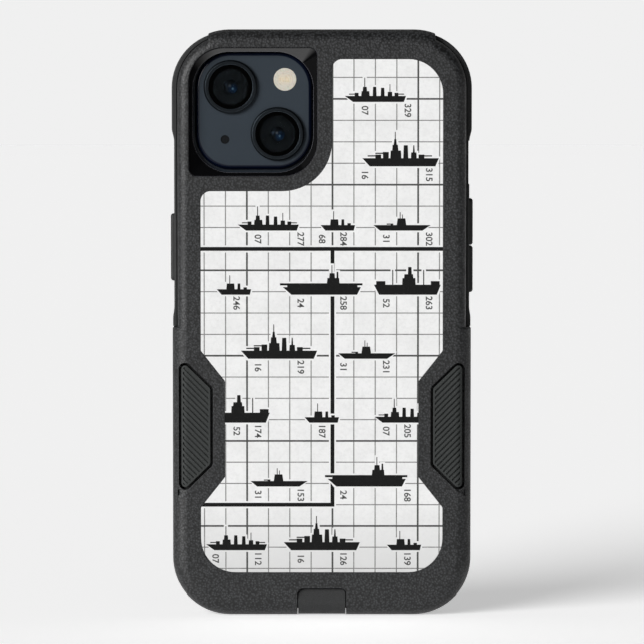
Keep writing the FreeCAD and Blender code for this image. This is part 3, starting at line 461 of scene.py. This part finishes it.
def ink_finish(name, colour, worn_colour, worn):
    """Printing ink whose density varies, with paler worn specks."""
    finish, tree = new_finish(name, 0.7, Specular_IOR_Level=0.1)
    vector = coordinates(tree)
    density = noise(vector, size=0.0012, detail=4.0, roughness=0.7)
    tone = shaded(spread(density, NOISE_SPAN), colour, 0.75, 1.35)
    speck = noise(vector, size=0.00035, detail=3.0, roughness=0.6)
    tone = mixed(spread(speck, (0.58, 0.78), (0.0, worn)), tone, scaled(worn_colour))
    gloss = spread(density, NOISE_SPAN, (0.62, 0.8))
    return finished(finish, Base_Color=tone, Roughness=gloss)


def select_only(piece):
    """Select one piece and no other, and make it active."""
    bpy.ops.object.select_all(action="DESELECT")
    piece.select_set(True)
    bpy.context.view_layer.objects.active = piece


def begin_edit(piece, action="DESELECT"):
    """Edit mode on one piece, with none or all of its faces selected."""
    select_only(piece)
    bpy.ops.object.mode_set(mode="EDIT")
    bpy.ops.mesh.select_mode(type="FACE")
    bpy.ops.mesh.select_all(action=action)


def end_edit():
    """Back to object mode."""
    bpy.ops.object.mode_set(mode="OBJECT")


def pick_faces(piece, test):
    """Select the faces whose middle and normal pass a test, and no others."""
    mesh = bmesh.from_edit_mesh(piece.data)
    for face in mesh.faces:
        face.select_set(False)
    found = [face for face in mesh.faces if test(face.calc_center_median(), face.normal)]
    if not found:
        raise RuntimeError("A block or gun of the chart's ships found no face to grow from")
    for face in found:
        face.select_set(True)
    bmesh.update_edit_mesh(piece.data)


def cut(axis, place):
    """Cut the whole mesh in edit mode at a place along an axis."""
    bpy.ops.mesh.select_all(action="SELECT")
    normal = [0.0, 0.0, 0.0]
    normal["XYZ".index(axis)] = 1.0
    point = [place * part for part in normal]
    bpy.ops.mesh.bisect(plane_co=point, plane_no=normal)
    bpy.ops.mesh.select_all(action="DESELECT")


def added(name, operator, **settings):
    """New object that an operator adds, with nothing else selected."""
    bpy.ops.object.select_all(action="DESELECT")
    operator(**settings)
    piece = bpy.context.object
    piece.name = name
    return piece


def slab(name, low, high):
    """Box between two corners, as a start for a piece."""
    piece = added(name, bpy.ops.mesh.primitive_cube_add, size=1.0, location=ORIGIN)
    begin_edit(piece, "SELECT")
    size = [b - a for a, b in zip(low, high)]
    bpy.ops.transform.resize(value=size, center_override=ORIGIN)
    bpy.ops.transform.translate(value=[(a + b) / 2 for a, b in zip(low, high)])
    end_edit()
    return piece


def settle(piece):
    """Put a piece's place into its mesh, so that the object sits at the origin."""
    select_only(piece)
    bpy.ops.object.transform_apply(location=True, rotation=True, scale=True)


def clean(piece):
    """Merge doubles, dissolve needless edges and turn the faces outwards."""
    begin_edit(piece, "SELECT")
    bpy.ops.mesh.remove_doubles(threshold=MERGE)
    bpy.ops.mesh.dissolve_limited(angle_limit=math.radians(0.5), delimit={"MATERIAL"})
    bpy.ops.mesh.normals_make_consistent(inside=False)
    end_edit()


def combine(piece, cutter, operation, overlaps=False):
    """Apply a boolean of a piece with a cutter, whose own parts may overlap."""
    select_only(piece)
    bpy.ops.object.modifier_add(type="BOOLEAN")
    modifier = piece.modifiers[-1]
    modifier.operation = operation
    modifier.solver = "EXACT"
    modifier.use_self = overlaps
    modifier.object = cutter
    bpy.ops.object.modifier_apply(modifier=modifier.name)


def discard(piece):
    """Remove a helper and its mesh."""
    mesh = piece.data
    bpy.data.objects.remove(piece)
    bpy.data.meshes.remove(mesh)


def duplicate(source, name):
    """Copy of a piece with its own mesh."""
    made = bpy.data.objects.new(name, source.data.copy())
    bpy.context.collection.objects.link(made)
    return made


def panel_clip(proud):
    """Closed copy of the panel, moved out so that it takes in the ink that stands on it."""
    clip = duplicate(NODES["back_panel"], "chart_clip")
    begin_edit(clip, "SELECT")
    bpy.ops.mesh.remove_doubles(threshold=MERGE)
    bpy.ops.transform.translate(value=(0.0, -proud, 0.0))
    end_edit()
    return clip


def deck_levels(plan):
    """Height of the deck under each block of a ship, in millimetres."""
    length, height = plan["hull"]
    tops = [(0.0, length, height)]
    levels = []
    for start, end, rise, _ in plan["rises"]:
        level = max(top for left, right, top in tops if left < end and start < right)
        levels.append(level)
        tops.append((start, end, level + rise))
    return levels


def rake_ends(hull, plan):
    """Draw the keel in at the bow and the stern."""
    length, height = (value * MM for value in plan["hull"])
    bow, stern = (value * MM for value in plan["rake"])
    begin_edit(hull)
    bpy.ops.mesh.select_mode(type="VERT")
    for is_bow, shift in ((True, bow), (False, -stern)):
        mesh = bmesh.from_edit_mesh(hull.data)
        for vertex in mesh.verts:
            low = vertex.co.z < height / 2
            vertex.select_set(low and (vertex.co.x < length / 2) == is_bow)
        mesh.select_flush(True)
        bmesh.update_edit_mesh(hull.data)
        bpy.ops.transform.translate(value=(shift, 0.0, 0.0))
    end_edit()


def raise_block(ship, start, end, level, height, taper):
    """Raise the part of a deck between two stations, narrower at its top."""
    cut("X", start)
    cut("X", end)
    pick_faces(ship, lambda point, normal: (
        normal.z > FACING and start < point.x < end and abs(point.z - level) < ON_DECK))
    bpy.ops.mesh.extrude_region_move(TRANSFORM_OT_translate={"value": (0.0, 0.0, height)})
    if taper < 1.0:
        top = ((start + end) / 2, 0.0, level + height)
        bpy.ops.transform.resize(value=(taper, 1.0, 1.0), center_override=top)


def raise_gun(ship, side, place, low, high, length):
    """Draw a barrel out of the face of a turret."""
    cut("Z", low)
    cut("Z", high)
    pick_faces(ship, lambda point, normal: (
        normal.x * side > FACING and low < point.z < high and abs(point.x - place) < ON_TURRET))
    bpy.ops.mesh.extrude_region_move(TRANSFORM_OT_translate={"value": (side * length, 0.0, 0.0)})


def build_ship(name, plan, low_y, high_y):
    """Side view of a ship as a flat closed piece, with its bow and keel at the origin."""
    length, height = (value * MM for value in plan["hull"])
    ship = slab(name, (0.0, low_y, 0.0), (length, high_y, height))
    rake_ends(ship, plan)
    begin_edit(ship)
    for level, (start, end, rise, taper) in zip(deck_levels(plan), plan["rises"]):
        raise_block(ship, start * MM, end * MM, level * MM, rise * MM, taper)
    for side, place, low, high, reach in plan["guns"]:
        raise_gun(ship, side, place * MM, low * MM, high * MM, reach * MM)
    end_edit()
    clean(ship)
    return ship


def build_halo(name, plan, low_y, high_y, gap):
    """Cutter that leaves bare paper round a ship: a box for its hull and for each block and gun."""
    length, height = plan["hull"]
    spans = [(0.0, length, 0.0, height)]
    for level, (start, end, rise, _) in zip(deck_levels(plan), plan["rises"]):
        spans.append((start, end, level, level + rise))
    for side, place, low, high, reach in plan["guns"]:
        muzzle = place + side * reach
        spans.append((min(place, muzzle), max(place, muzzle), low, high))
    boxes = []
    for left, right, bottom, top in spans:
        low = (left * MM - gap, low_y, bottom * MM - gap)
        boxes.append(slab(name, low, (right * MM + gap, high_y, top * MM + gap)))
    rake_ends(boxes[0], plan)
    return joined(boxes, name)


def copy_to(source, name, offset):
    """Copy of a piece, moved to its place."""
    made = duplicate(source, name)
    select_only(made)
    bpy.ops.transform.translate(value=offset)
    settle(made)
    return made


def joined(pieces, name):
    """Several pieces as one."""
    bpy.ops.object.select_all(action="DESELECT")
    for piece in pieces:
        piece.select_set(True)
    bpy.context.view_layer.objects.active = pieces[0]
    bpy.ops.object.join()
    pieces[0].name = name
    return pieces[0]


def inside_border(x, z, gap):
    """Whether a point in millimetres lies in a thick border, or within a gap of one."""
    return any(
        left - gap < x < right + gap and bottom - gap < z < top + gap
        for left, right, bottom, top in BORDERS
    )


def line_places(low, high, cell, start):
    """Places of the grid lines between two ends, each with its number."""
    first = math.ceil((low - start) / cell)
    last = math.floor((high - start) / cell)
    return [(index, start + index * cell) for index in range(first, last + 1)]


def print_piece(piece, finishes):
    """Give a printed piece its inks and fix it to the shell."""
    slots = piece.data.materials
    for index, finish in enumerate(finishes):
        if index == len(slots):
            slots.append(None)
        slots[index] = finish
    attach(piece, SHELL_BODY)


Colour = partial(bpy.props.FloatVectorProperty, subtype="COLOR")
Length = partial(bpy.props.FloatProperty, unit="LENGTH", precision=6)


class CaseFinish(bpy.types.PropertyGroup):
    """Colours of the case and of the handset in it."""

    shell: Colour(
        name="Shell", description="Grained hard shell", default=(0.0174, 0.0181, 0.0192))
    sleeve: Colour(
        name="Sleeve", description="Soft inner sleeve, button covers and port cover",
        default=(0.0285, 0.0292, 0.0296))
    grip: Colour(
        name="Grip pads", description="Ribbed pads in the side windows",
        default=(0.0325, 0.0355, 0.0345))
    bezel: Colour(
        name="Bezel", description="Polished frame round the camera",
        default=(0.0026, 0.0026, 0.0029))
    paper: Colour(
        name="Chart", description="Sheet that the chart is printed on",
        default=(0.855, 0.855, 0.851))
    paper_foot: Colour(
        name="Foot of the chart", description="Greyer tone at the foot of the sheet",
        default=(0.655, 0.655, 0.65))
    ink: Colour(name="Ink", description="Ships and borders", default=(0.008, 0.008, 0.008))
    line_ink: Colour(
        name="Line ink", description="Fine lines of the grid", default=(0.2, 0.2, 0.195))
    plate: Colour(
        name="Camera plate", description="Frosted glass of the camera",
        default=(0.0245, 0.0335, 0.0437))
    metal: Colour(
        name="Handset frame", description="Anodised frame and keys",
        default=(0.035, 0.042, 0.055))
    grain: Length(name="Grain", description="Size of the grain of the shell", default=0.00058)


class ChartPrint(bpy.types.PropertyGroup):
    """Sizes of the printed chart."""

    cell: Length(name="Cell", description="Distance between grid lines", default=0.0056)
    fine: Length(name="Fine line", description="Width of a fine line", default=0.00026)
    heavy: Length(name="Heavy line", description="Width of each fourth line", default=0.00046)
    gap: Length(name="Gap", description="Bare paper round ships and borders", default=0.00045)
    proud: Length(
        name="Ink thickness", description="Height of the ink above the sheet", default=0.00002)
    numeral: Length(
        name="Numerals", description="Height of the numbers below the ships", default=0.0024)


class CaseStudio(bpy.types.PropertyGroup):
    """Camera, background and light."""

    distance: Length(
        name="Camera distance", description="From the camera to the case", default=1.0)
    elevation: bpy.props.FloatProperty(
        name="Camera elevation", description="Angle at which the camera looks down",
        subtype="ANGLE", default=math.radians(3.0))
    field: Length(name="Field", description="Width of the picture at the case", default=0.16983)
    backdrop: bpy.props.FloatProperty(
        name="Backdrop", description="Brightness of the background", subtype="FACTOR",
        default=0.871, min=0.0, max=1.0)
    key: bpy.props.FloatProperty(
        name="Key light", description="Strength of the main light, at the left",
        default=3.55, min=0.0)
    ambient: bpy.props.FloatProperty(
        name="Ambient", description="Strength of the surroundings at eye level",
        default=0.34, min=0.0)
    mirrored: bpy.props.FloatProperty(
        name="Mirrored backdrop", subtype="FACTOR", default=0.3, min=0.0, max=1.0,
        description="Share of the backdrop that shows in gloss and through glass")
    reflected: bpy.props.FloatProperty(
        name="Reflections", description="Brightness of the surroundings in glossy surfaces",
        default=0.03, min=0.0)


class CASE_OT_shell(bpy.types.Operator):
    """Grained finish of the hard shell"""

    bl_idname = "case.shell"
    bl_label = "Finish the shell"

    def execute(self, context):
        colours = context.scene.case_finish
        grained = moulded_finish(
            "grained_shell", colours.shell, roughness=0.5, grain=colours.grain, depth=0.000055,
            specks=1.0, wear_and_highlight=0.3, shine=0.45)
        dress(grained, "outer_shell")
        return {"FINISHED"}


class CASE_OT_sleeve(bpy.types.Operator):
    """Satin rubber of the sleeve, the button covers and the port cover"""

    bl_idname = "case.sleeve"
    bl_label = "Finish the sleeve"

    def execute(self, context):
        colours = context.scene.case_finish
        rubber = moulded_finish(
            "sleeve_rubber", colours.sleeve, roughness=0.6, grain=0.00018, depth=0.00001,
            specks=0.12, wear_and_highlight=0.25)
        dress(rubber, "inner_sleeve", "side_button_cover", "volume_up_cover", "volume_down_cover")
        cover = moulded_finish(
            "cover_rubber", colours.sleeve, roughness=0.55, grain=0.00024, depth=0.00003,
            specks=0.25, wear_and_highlight=0.3)
        dress(cover, "port_cover")
        return {"FINISHED"}


class CASE_OT_grips(bpy.types.Operator):
    """Matt rubber of the ribbed grip pads"""

    bl_idname = "case.grips"
    bl_label = "Finish the grip pads"

    def execute(self, context):
        rubber = moulded_finish(
            "grip_rubber", context.scene.case_finish.grip, roughness=0.66, grain=0.00016,
            depth=0.00001, specks=0.15, wear_and_highlight=0.25)
        dress(rubber, "grip_pad_left", "grip_pad_right")
        return {"FINISHED"}


class CASE_OT_bezel(bpy.types.Operator):
    """Black of the camera bezel, polished only on its upper facet, with painted highlight lines
    along its edges
    """

    bl_idname = "case.bezel"
    bl_label = "Finish the bezel"

    def execute(self, context):
        black = context.scene.case_finish.bezel
        # An edge of 60 paints thin highlight lines along the bezel's edges.
        finish = gloss_finish("polished_bezel", black, roughness=0.08, edge=60.0)
        tree = finish.node_tree
        across = spread(split(coordinates(tree))["X"], POLISH_ACROSS)
        normal = node(tree, "TexCoord").outputs["Normal"]
        upper = spread(split(normal)["Z"], POLISH_SLOPE)
        polish = math_node("MULTIPLY", across, upper)
        shine = spread(polish, (0.0, 1.0), (DULL_SHINE, POLISHED_SHINE))
        finished(finish, Specular_IOR_Level=shine, Coat_Weight=polish)
        dress(finish, "camera_bezel")
        return {"FINISHED"}


class CASE_OT_sheet(bpy.types.Operator):
    """Paper-white sheet of the back panel and the film under it"""

    bl_idname = "case.sheet"
    bl_label = "Finish the chart's sheet"

    def execute(self, context):
        colours = context.scene.case_finish
        sheet = paper_finish("chart_sheet", colours.paper, colours.paper_foot)
        dress(sheet, "back_panel")
        film, tree = new_finish("adhesive_film", 0.35, Alpha=0.9)
        bubbles = noise(coordinates(tree), size=0.0015, detail=4.0, roughness=0.6)
        tone = mixed(bubbles, FILM_THIN, FILM_THICK)
        finished(film, Base_Color=tone, Normal=relief(bubbles, depth=0.00001))
        dress(film, "panel_adhesive")
        return {"FINISHED"}


class CASE_OT_chart(bpy.types.Operator):
    """Grid, borders, ships and numbers of the printed chart"""

    bl_idname = "case.chart"
    bl_label = "Print the chart"

    def execute(self, context):
        colours = context.scene.case_finish
        sizes = context.scene.chart_print
        dark_ink = scaled(colours.line_ink, 0.35)
        black = ink_finish("chart_black", colours.ink, WORN_BLACK, worn=0.5)
        grey = ink_finish("chart_grey", colours.line_ink, colours.paper, worn=0.5)
        dark = ink_finish("chart_dark", dark_ink, colours.paper, worn=0.25)
        low_y = PANEL_LOW.y - sizes.proud
        high_y = PANEL_LOW.y + sizes.proud
        clip = panel_clip(2.0 * sizes.proud)

        ships, halo = self.ships(sizes, low_y, high_y)
        for ship in ships:
            if max(abs(corner[0]) for corner in ship.bound_box) > WAIST:
                combine(ship, clip, "INTERSECT", overlaps=True)
                clean(ship)
            if not ship.data.polygons:
                raise RuntimeError("A ship of the chart was lost at the edge of the sheet")
            print_piece(ship, [black])

        grid = self.grid(sizes, low_y, high_y)
        combine(grid, halo, "DIFFERENCE", overlaps=True)
        combine(grid, clip, "INTERSECT")
        clean(grid)
        print_piece(grid, [grey, dark, black])

        print_piece(self.numbers(sizes, low_y, high_y), [dark])
        discard(halo)
        discard(clip)
        return {"FINISHED"}

    def ships(self, sizes, low_y, high_y):
        """All ships of the chart in their places, and one cutter for the bare paper round them."""
        ships = []
        halos = []
        gap = sizes.gap
        for kind, plan in SHIPS.items():
            ship = build_ship("plan_" + kind, plan, low_y, high_y)
            halo = build_halo("halo_" + kind, plan, low_y - gap, high_y + gap, gap)
            half = plan["hull"][0] * MM / 2
            for other, x, z, figure in FLEET:
                if other == kind:
                    offset = (x * MM - half, 0.0, z * MM)
                    ships.append(copy_to(ship, "ship_" + figure + "_" + kind, offset))
                    halos.append(copy_to(halo, "halo_" + figure, offset))
            discard(ship)
            discard(halo)
        return ships, joined(halos, "chart_halos")

    def grid(self, sizes, low_y, high_y):
        """Sheet of fine lines, heavy lines and borders, with the cells between them cut out."""
        left, right = PANEL_LOW.x / MM - GRID_MARGIN, PANEL_HIGH.x / MM + GRID_MARGIN
        bottom, top = PANEL_LOW.z / MM - GRID_MARGIN, PANEL_HIGH.z / MM + GRID_MARGIN
        lengths = (sizes.cell, sizes.fine, sizes.heavy, sizes.gap)
        cell, fine, heavy, gap = (value / MM for value in lengths)
        columns = line_places(left, right, cell, cell / 2)
        rows = line_places(bottom, top, cell, cell / 4)
        grid = added(
            "chart_grid", bpy.ops.mesh.primitive_plane_add, size=1.0, location=ORIGIN,
            rotation=(math.pi / 2, 0.0, 0.0))
        settle(grid)
        begin_edit(grid, "SELECT")
        bpy.ops.transform.resize(
            value=((right - left) * MM, 1.0, (top - bottom) * MM), center_override=ORIGIN)
        middle_x, middle_z = (left + right) / 2, (bottom + top) / 2
        bpy.ops.transform.translate(value=(middle_x * MM, high_y, middle_z * MM))

        def half_width(index):
            return (heavy if index % HEAVY_EVERY == 0 else fine) / 2

        for axis, lines in (("X", columns), ("Z", rows)):
            for index, place in lines:
                cut(axis, (place - half_width(index)) * MM)
                cut(axis, (place + half_width(index)) * MM)
        for border in BORDERS:
            for axis, ends, limits in (
                ("X", border[:2], (left, right)), ("Z", border[2:], (bottom, top)),
            ):
                for place in (ends[0] - gap, ends[0], ends[1], ends[1] + gap):
                    if limits[0] < place < limits[1]:
                        cut(axis, place * MM)

        def ink_at(point):
            x, z = point.x / MM, point.z / MM
            if inside_border(x, z, 0.0):
                return BORDER_INK
            if inside_border(x, z, gap):
                return None
            found = [index for index, place in columns if abs(x - place) < half_width(index)]
            found += [index for index, place in rows if abs(z - place) < half_width(index)]
            if not found:
                return None
            return HEAVY_INK if any(index % HEAVY_EVERY == 0 for index in found) else FINE_INK

        for _ in (FINE_INK, HEAVY_INK, BORDER_INK):
            grid.data.materials.append(None)
        mesh = bmesh.from_edit_mesh(grid.data)
        for face in mesh.faces:
            ink = ink_at(face.calc_center_median())
            face.select_set(ink is None)
            face.material_index = ink or FINE_INK
        bmesh.update_edit_mesh(grid.data)
        bpy.ops.mesh.delete(type="FACE")
        end_edit()
        select_only(grid)
        bpy.ops.object.modifier_add(type="SOLIDIFY")
        wall = grid.modifiers[-1]
        wall.thickness = high_y - low_y
        wall.offset = 1.0
        wall.use_even_offset = True
        bpy.ops.object.modifier_apply(modifier=wall.name)
        return grid

    def numbers(self, sizes, low_y, high_y):
        """Number of each ship and, where there is room, of its class, as one piece."""
        numbers = []
        for kind, x, z, figure in FLEET:
            half = SHIPS[kind]["hull"][0] / 2
            stern = self.column(x + half - FROM_STERN, z, sizes)
            bow = self.column(x - half + FROM_BOW, z, sizes)
            numbers.append(self.number(figure, stern, z, sizes, low_y, high_y))
            if bow != stern:
                numbers.append(self.number(SHIPS[kind]["class"], bow, z, sizes, low_y, high_y))
        return joined(numbers, "chart_numbers")

    def column(self, x, z, sizes):
        """Middle of the column of cells nearest to a place, and on the sheet."""
        most = WAIST_COLUMNS if WAIST_LOW < z < WAIST_HIGH else WIDE_COLUMNS
        index = round(x * MM / sizes.cell)
        return max(-most, min(most, index)) * sizes.cell

    def number(self, figure, column, z, sizes, low_y, high_y):
        """Number below a ship's keel, which reads downwards."""
        label = added("number_" + figure, bpy.ops.object.text_add, location=ORIGIN)
        text = label.data
        text.body = figure
        text.size = sizes.numeral
        text.offset = sizes.numeral * NUMERAL_SWELL
        text.extrude = (high_y - low_y) / 2
        text.align_x = text.align_y = "CENTER"
        bpy.ops.object.convert(target="MESH")
        label = bpy.context.object
        label.rotation_euler = (math.pi / 2, math.pi / 2, 0.0)
        label.location = (column, (low_y + high_y) / 2, (z - BELOW_KEEL) * MM)
        settle(label)
        begin_edit(label, "SELECT")
        bpy.ops.mesh.remove_doubles(threshold=MERGE)
        bpy.ops.mesh.normals_make_consistent(inside=False)
        end_edit()
        return label


class CASE_OT_camera(bpy.types.Operator):
    """Glass plate, lens rings, lenses, flash and microphone of the camera"""

    bl_idname = "case.camera"
    bl_label = "Finish the camera"

    def execute(self, context):
        dress(self.plate(context.scene.case_finish.plate), "camera_plate")
        # An edge of 9.0 paints a highlight along the lens rings' edges.
        ring = anodised_finish("lens_ring_metal", LENS_RING, roughness=0.34, edge=9.0)
        for place in ("upper", "lower"):
            dress(ring, "lens_ring_" + place)
            dress(self.cover_glass(place), "lens_glass_" + place)
            dress(self.barrel(place), "lens_barrel_" + place)
            dress(self.element(place), "lens_element_" + place)
        dress(self.flash(), "flash_diffuser")
        mesh = woven_mesh_finish("microphone_mesh", MICROPHONE, pitch=0.0003)
        dress(mesh, "rear_microphone")
        return {"FINISHED"}

    def plate(self, colour):
        """Frosted glass with a polished, darker edge."""
        finish, tree = new_finish("camera_plate_glass", 0.55, Specular_IOR_Level=0.2)
        vector = coordinates(tree)
        normal = node(tree, "TexCoord").outputs["Normal"]
        edge = spread(split(normal)["Y"], (-0.9995, -0.985))
        tone = shaded(noise(vector, size=0.009), colour, 0.9, 1.1)
        frost = noise(vector, size=0.00014, roughness=0.6)
        crystals = spread(frost, (0.55, 0.75), (0.0, 0.25))
        tone = mixed(crystals, tone, scaled(colour, 1.6))
        tone = mixed(edge, tone, PLATE_EDGE)
        gloss = spread(edge, (0.0, 1.0), (0.55, 0.1))
        normal = relief(frost, depth=0.000004, strength=0.5)
        return finished(finish, Base_Color=tone, Roughness=gloss, Normal=normal)

    def cover_glass(self, place):
        """Clear cover glass with a faint dark tint and a few dust specks."""
        finish, tree = new_finish(
            "cover_glass_" + place, 0.02, Transmission_Weight=1.0, IOR=1.45)
        dust = noise(coordinates(tree), size=0.0003, detail=3.0, roughness=0.7)
        dust = spread(dust, (0.68, 0.8), (0.0, 0.5))
        gloss = spread(dust, (0.0, 0.5), (0.01, 0.2))
        tone = mixed(dust, COVER_CLEAR, COVER_DUST)
        return finished(finish, Base_Color=tone, Roughness=gloss)

    def barrel(self, place):
        """Blackened barrel with fine turned grooves, painted darker in the grooves as shade."""
        finish, tree = new_finish("barrel_black_" + place, 0.75, Specular_IOR_Level=0.1)
        groove = rings(tree, middle("lens_barrel_" + place), pitch=0.00022)
        # The grooves are painted darker as shade, and the ridges keep the lighter tone.
        tone = mixed(groove, BARREL_GROOVE_SHADE, BARREL_RIDGE)
        return finished(finish, Base_Color=tone, Normal=relief(groove, depth=0.00003))

    def element(self, place):
        """Front element whose colour has a painted blue reflection and a painted highlight on one
        side, and a painted glint on the other.
        """
        finish, tree = new_finish(
            "lens_coating_" + place, 0.3, IOR=1.5, Specular_IOR_Level=0.1, Specular_Tint=LENS_TINT)
        x, y, z = middle("lens_element_" + place)
        tone = LENS_DARK
        # Paints the coating's blue reflection and two highlights into the base colour.
        for across, up, radius, colour in LENS_PAINTED_LIGHTS.values():
            reach = distance(coordinates(tree, (x + across, y, z + up), ON_BACK))
            tone = mixed(spread(reach, (radius, 0.0)), tone, colour)
        smear = noise(coordinates(tree), size=0.0006, detail=3.0)
        gloss = spread(smear, NOISE_SPAN, (0.25, 0.4))
        return finished(finish, Base_Color=tone, Roughness=gloss)

    def flash(self):
        """Milky flash lens with moulded rings and two warm emitters behind it."""
        finish, tree = new_finish(
            "flash_milk", 0.3, Subsurface_Weight=0.15, Subsurface_Scale=0.0008, Coat_Weight=0.6)
        centre = middle("flash_diffuser")
        vector = coordinates(tree, centre, ON_BACK)
        axes = split(vector)
        side = math_node("ABSOLUTE", axes["X"], 0.0)
        side = math_node("SUBTRACT", side, EMITTER_OFFSET)
        emitter = node(tree, "CombineXYZ")
        link(side, emitter.inputs["X"])
        link(axes["Z"], emitter.inputs["Z"])
        glow = spread(distance(emitter.outputs[0]), (0.0016, 0.0002))
        tone = mixed(glow, FLASH_MILK, FLASH_WARM)
        facet = cells(vector, size=1.0 / 1400.0, randomness=0.7)
        tone = mixed(spread(facet, (0.0, 0.6), (0.0, 0.45)), tone, FLASH_SPARKLE)
        normal = relief(rings(tree, centre, pitch=0.0006), depth=0.00004, strength=0.6)
        return finished(finish, Base_Color=tone, Normal=normal)


class CASE_OT_handset(bpy.types.Operator):
    """Metal, glass, keys and ports of the seated handset"""

    bl_idname = "case.handset"
    bl_label = "Finish the handset"

    def execute(self, context):
        colours = context.scene.case_finish
        metal = anodised_finish("handset_metal", colours.metal, roughness=0.36)
        dress(
            metal, "handset_frame", "handset_side_button", "handset_volume_up",
            "handset_volume_down")
        switch = anodised_finish("switch_metal", colours.metal, roughness=0.3, grain=0.00009)
        dress(switch, "ring_switch")
        dress(gloss_finish("back_glass", BACK_GLASS, roughness=0.12), "handset_back_glass")
        display = gloss_finish("display_black", DISPLAY, roughness=0.05, Coat_Weight=0.6)
        dress(display, "display_glass")
        lens = gloss_finish("front_lens", FRONT_LENS, roughness=0.04, Coat_Weight=1.0)
        dress(lens, "front_camera")
        dress(woven_mesh_finish("earpiece_mesh", EARPIECE, pitch=0.00028), "earpiece_grille")
        dress(woven_mesh_finish("speaker_mesh_metal", SPEAKER, pitch=0.00045), "speaker_mesh")
        steel = anodised_finish("plain_steel", STEEL, roughness=0.32)
        dress(steel, "charging_port", "port_screws")
        return {"FINISHED"}


class CASE_OT_stage(bpy.types.Operator):
    """Floor, background, light and camera"""

    bl_idname = "case.stage"
    bl_label = "Set the stage"

    def execute(self, context):
        scene = context.scene
        studio = scene.case_studio
        scene.view_settings.view_transform = "Standard"
        self.floor()
        self.world(scene, studio)
        self.key_light(scene, studio.key)
        self.camera(scene, studio)
        return {"FINISHED"}

    def floor(self):
        """Pale floor that keeps the shadow of the case."""
        floor = added(
            "floor", bpy.ops.mesh.primitive_plane_add, size=FLOOR_SIZE, location=FLOOR_PLACE)
        settle(floor)
        finish = bpy.data.materials.new("pale_floor")
        finish.use_nodes = True
        tree = finish.node_tree
        tree.nodes.remove(tree.nodes["Principled BSDF"])
        matt = node(tree, "BsdfDiffuse", {"Color": FLOOR_MATT})
        bright = node(tree, "BsdfDiffuse", {"Color": WHITE})
        glow = node(tree, "Emission", {"Color": WHITE, "Strength": FLOOR_GLOW})
        pale = node(tree, "AddShader")
        link(bright.outputs[0], pale.inputs[0])
        link(glow.outputs[0], pale.inputs[1])
        rays = node(tree, "LightPath").outputs
        seen = math_node("MAXIMUM", rays["Is Camera Ray"], rays["Is Glossy Ray"])
        seen = math_node("MAXIMUM", seen, rays["Is Transmission Ray"])
        surface = shader_mix(seen, matt.outputs[0], pale.outputs[0])
        link(surface, tree.nodes["Material Output"].inputs["Surface"])
        floor.data.materials.append(finish)

    def world(self, scene, studio):
        """Dim surroundings with a pale backdrop, which also shows in gloss and through glass."""
        world = bpy.data.worlds.new("studio")
        world.use_nodes = True
        scene.world = world
        tree = world.node_tree
        tree.nodes.clear()
        around, above, dark, pale = (
            node(tree, "Background", {"Color": WHITE, "Strength": strength}).outputs[0]
            for strength in (studio.ambient, OVERHEAD, studio.reflected, studio.backdrop)
        )
        rays = node(tree, "LightPath").outputs
        axes = split(node(tree, "TexCoord").outputs["Generated"])
        room = shader_mix(spread(axes["Z"], DIMMING), around, above)
        room = shader_mix(rays["Is Glossy Ray"], room, dark)
        behind = spread(axes["Y"], BEHIND, (0.0, studio.mirrored))
        gloss = math_node("MAXIMUM", rays["Is Glossy Ray"], rays["Is Transmission Ray"])
        mirrored = math_node("MULTIPLY", gloss, behind)
        seen = math_node("MAXIMUM", rays["Is Camera Ray"], mirrored)
        shown = shader_mix(seen, room, pale)
        link(shown, node(tree, "OutputWorld").inputs["Surface"])

    def key_light(self, scene, strength):
        """Broad main light from the left of the camera."""
        data = bpy.data.lights.new("key_light", "SUN")
        data.energy = strength
        data.angle = KEY_WIDTH
        lamp = bpy.data.objects.new("key_light", data)
        scene.collection.objects.link(lamp)
        lamp.rotation_euler = Vector(KEY_PLACE).to_track_quat("Z", "Y").to_euler()

    def camera(self, scene, studio):
        """Camera that looks at the printed back, a little from above."""
        data = bpy.data.cameras.new("photo_camera")
        data.sensor_width = SENSOR
        data.lens = SENSOR * studio.distance / studio.field
        data.clip_end = SIGHT
        camera = bpy.data.objects.new("photo_camera", data)
        scene.collection.objects.link(camera)
        lean = studio.elevation
        away = Vector((0.0, -math.cos(lean), math.sin(lean)))
        camera.location = Vector(CAMERA_TARGET) + away * studio.distance
        camera.rotation_euler = (math.pi / 2 - lean, 0.0, 0.0)
        scene.camera = camera


STEPS = (
    CASE_OT_shell, CASE_OT_sleeve, CASE_OT_grips, CASE_OT_bezel, CASE_OT_sheet, CASE_OT_chart,
    CASE_OT_camera, CASE_OT_handset, CASE_OT_stage,
)


class VIEW3D_PT_case(bpy.types.Panel):
    """Steps that dress the case"""

    bl_label = "Fleet chart case"
    bl_space_type = "VIEW_3D"
    bl_region_type = "UI"
    bl_category = "Case"

    def draw(self, context):
        scene = context.scene
        for group in (scene.case_finish, scene.chart_print, scene.case_studio):
            for name in group.__annotations__:
                self.layout.prop(group, name)
        for step in STEPS:
            self.layout.operator(step.bl_idname)


GROUPS = {"case_finish": CaseFinish, "chart_print": ChartPrint, "case_studio": CaseStudio}
CLASSES = tuple(GROUPS.values()) + STEPS + (VIEW3D_PT_case,)


def register():
    """Make the classes and the property groups known to Blender."""
    for item in CLASSES:
        bpy.utils.register_class(item)
    for name, group in GROUPS.items():
        setattr(bpy.types.Scene, name, bpy.props.PointerProperty(type=group))


def unregister():
    """Take the property groups and the classes away again."""
    for name in GROUPS:
        delattr(bpy.types.Scene, name)
    for item in reversed(CLASSES):
        bpy.utils.unregister_class(item)


def main():
    """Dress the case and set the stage."""
    register()
    for step in STEPS:
        category, name = step.bl_idname.split(".")
        getattr(getattr(bpy.ops, category), name)()


if __name__ == "__main__":
    main()
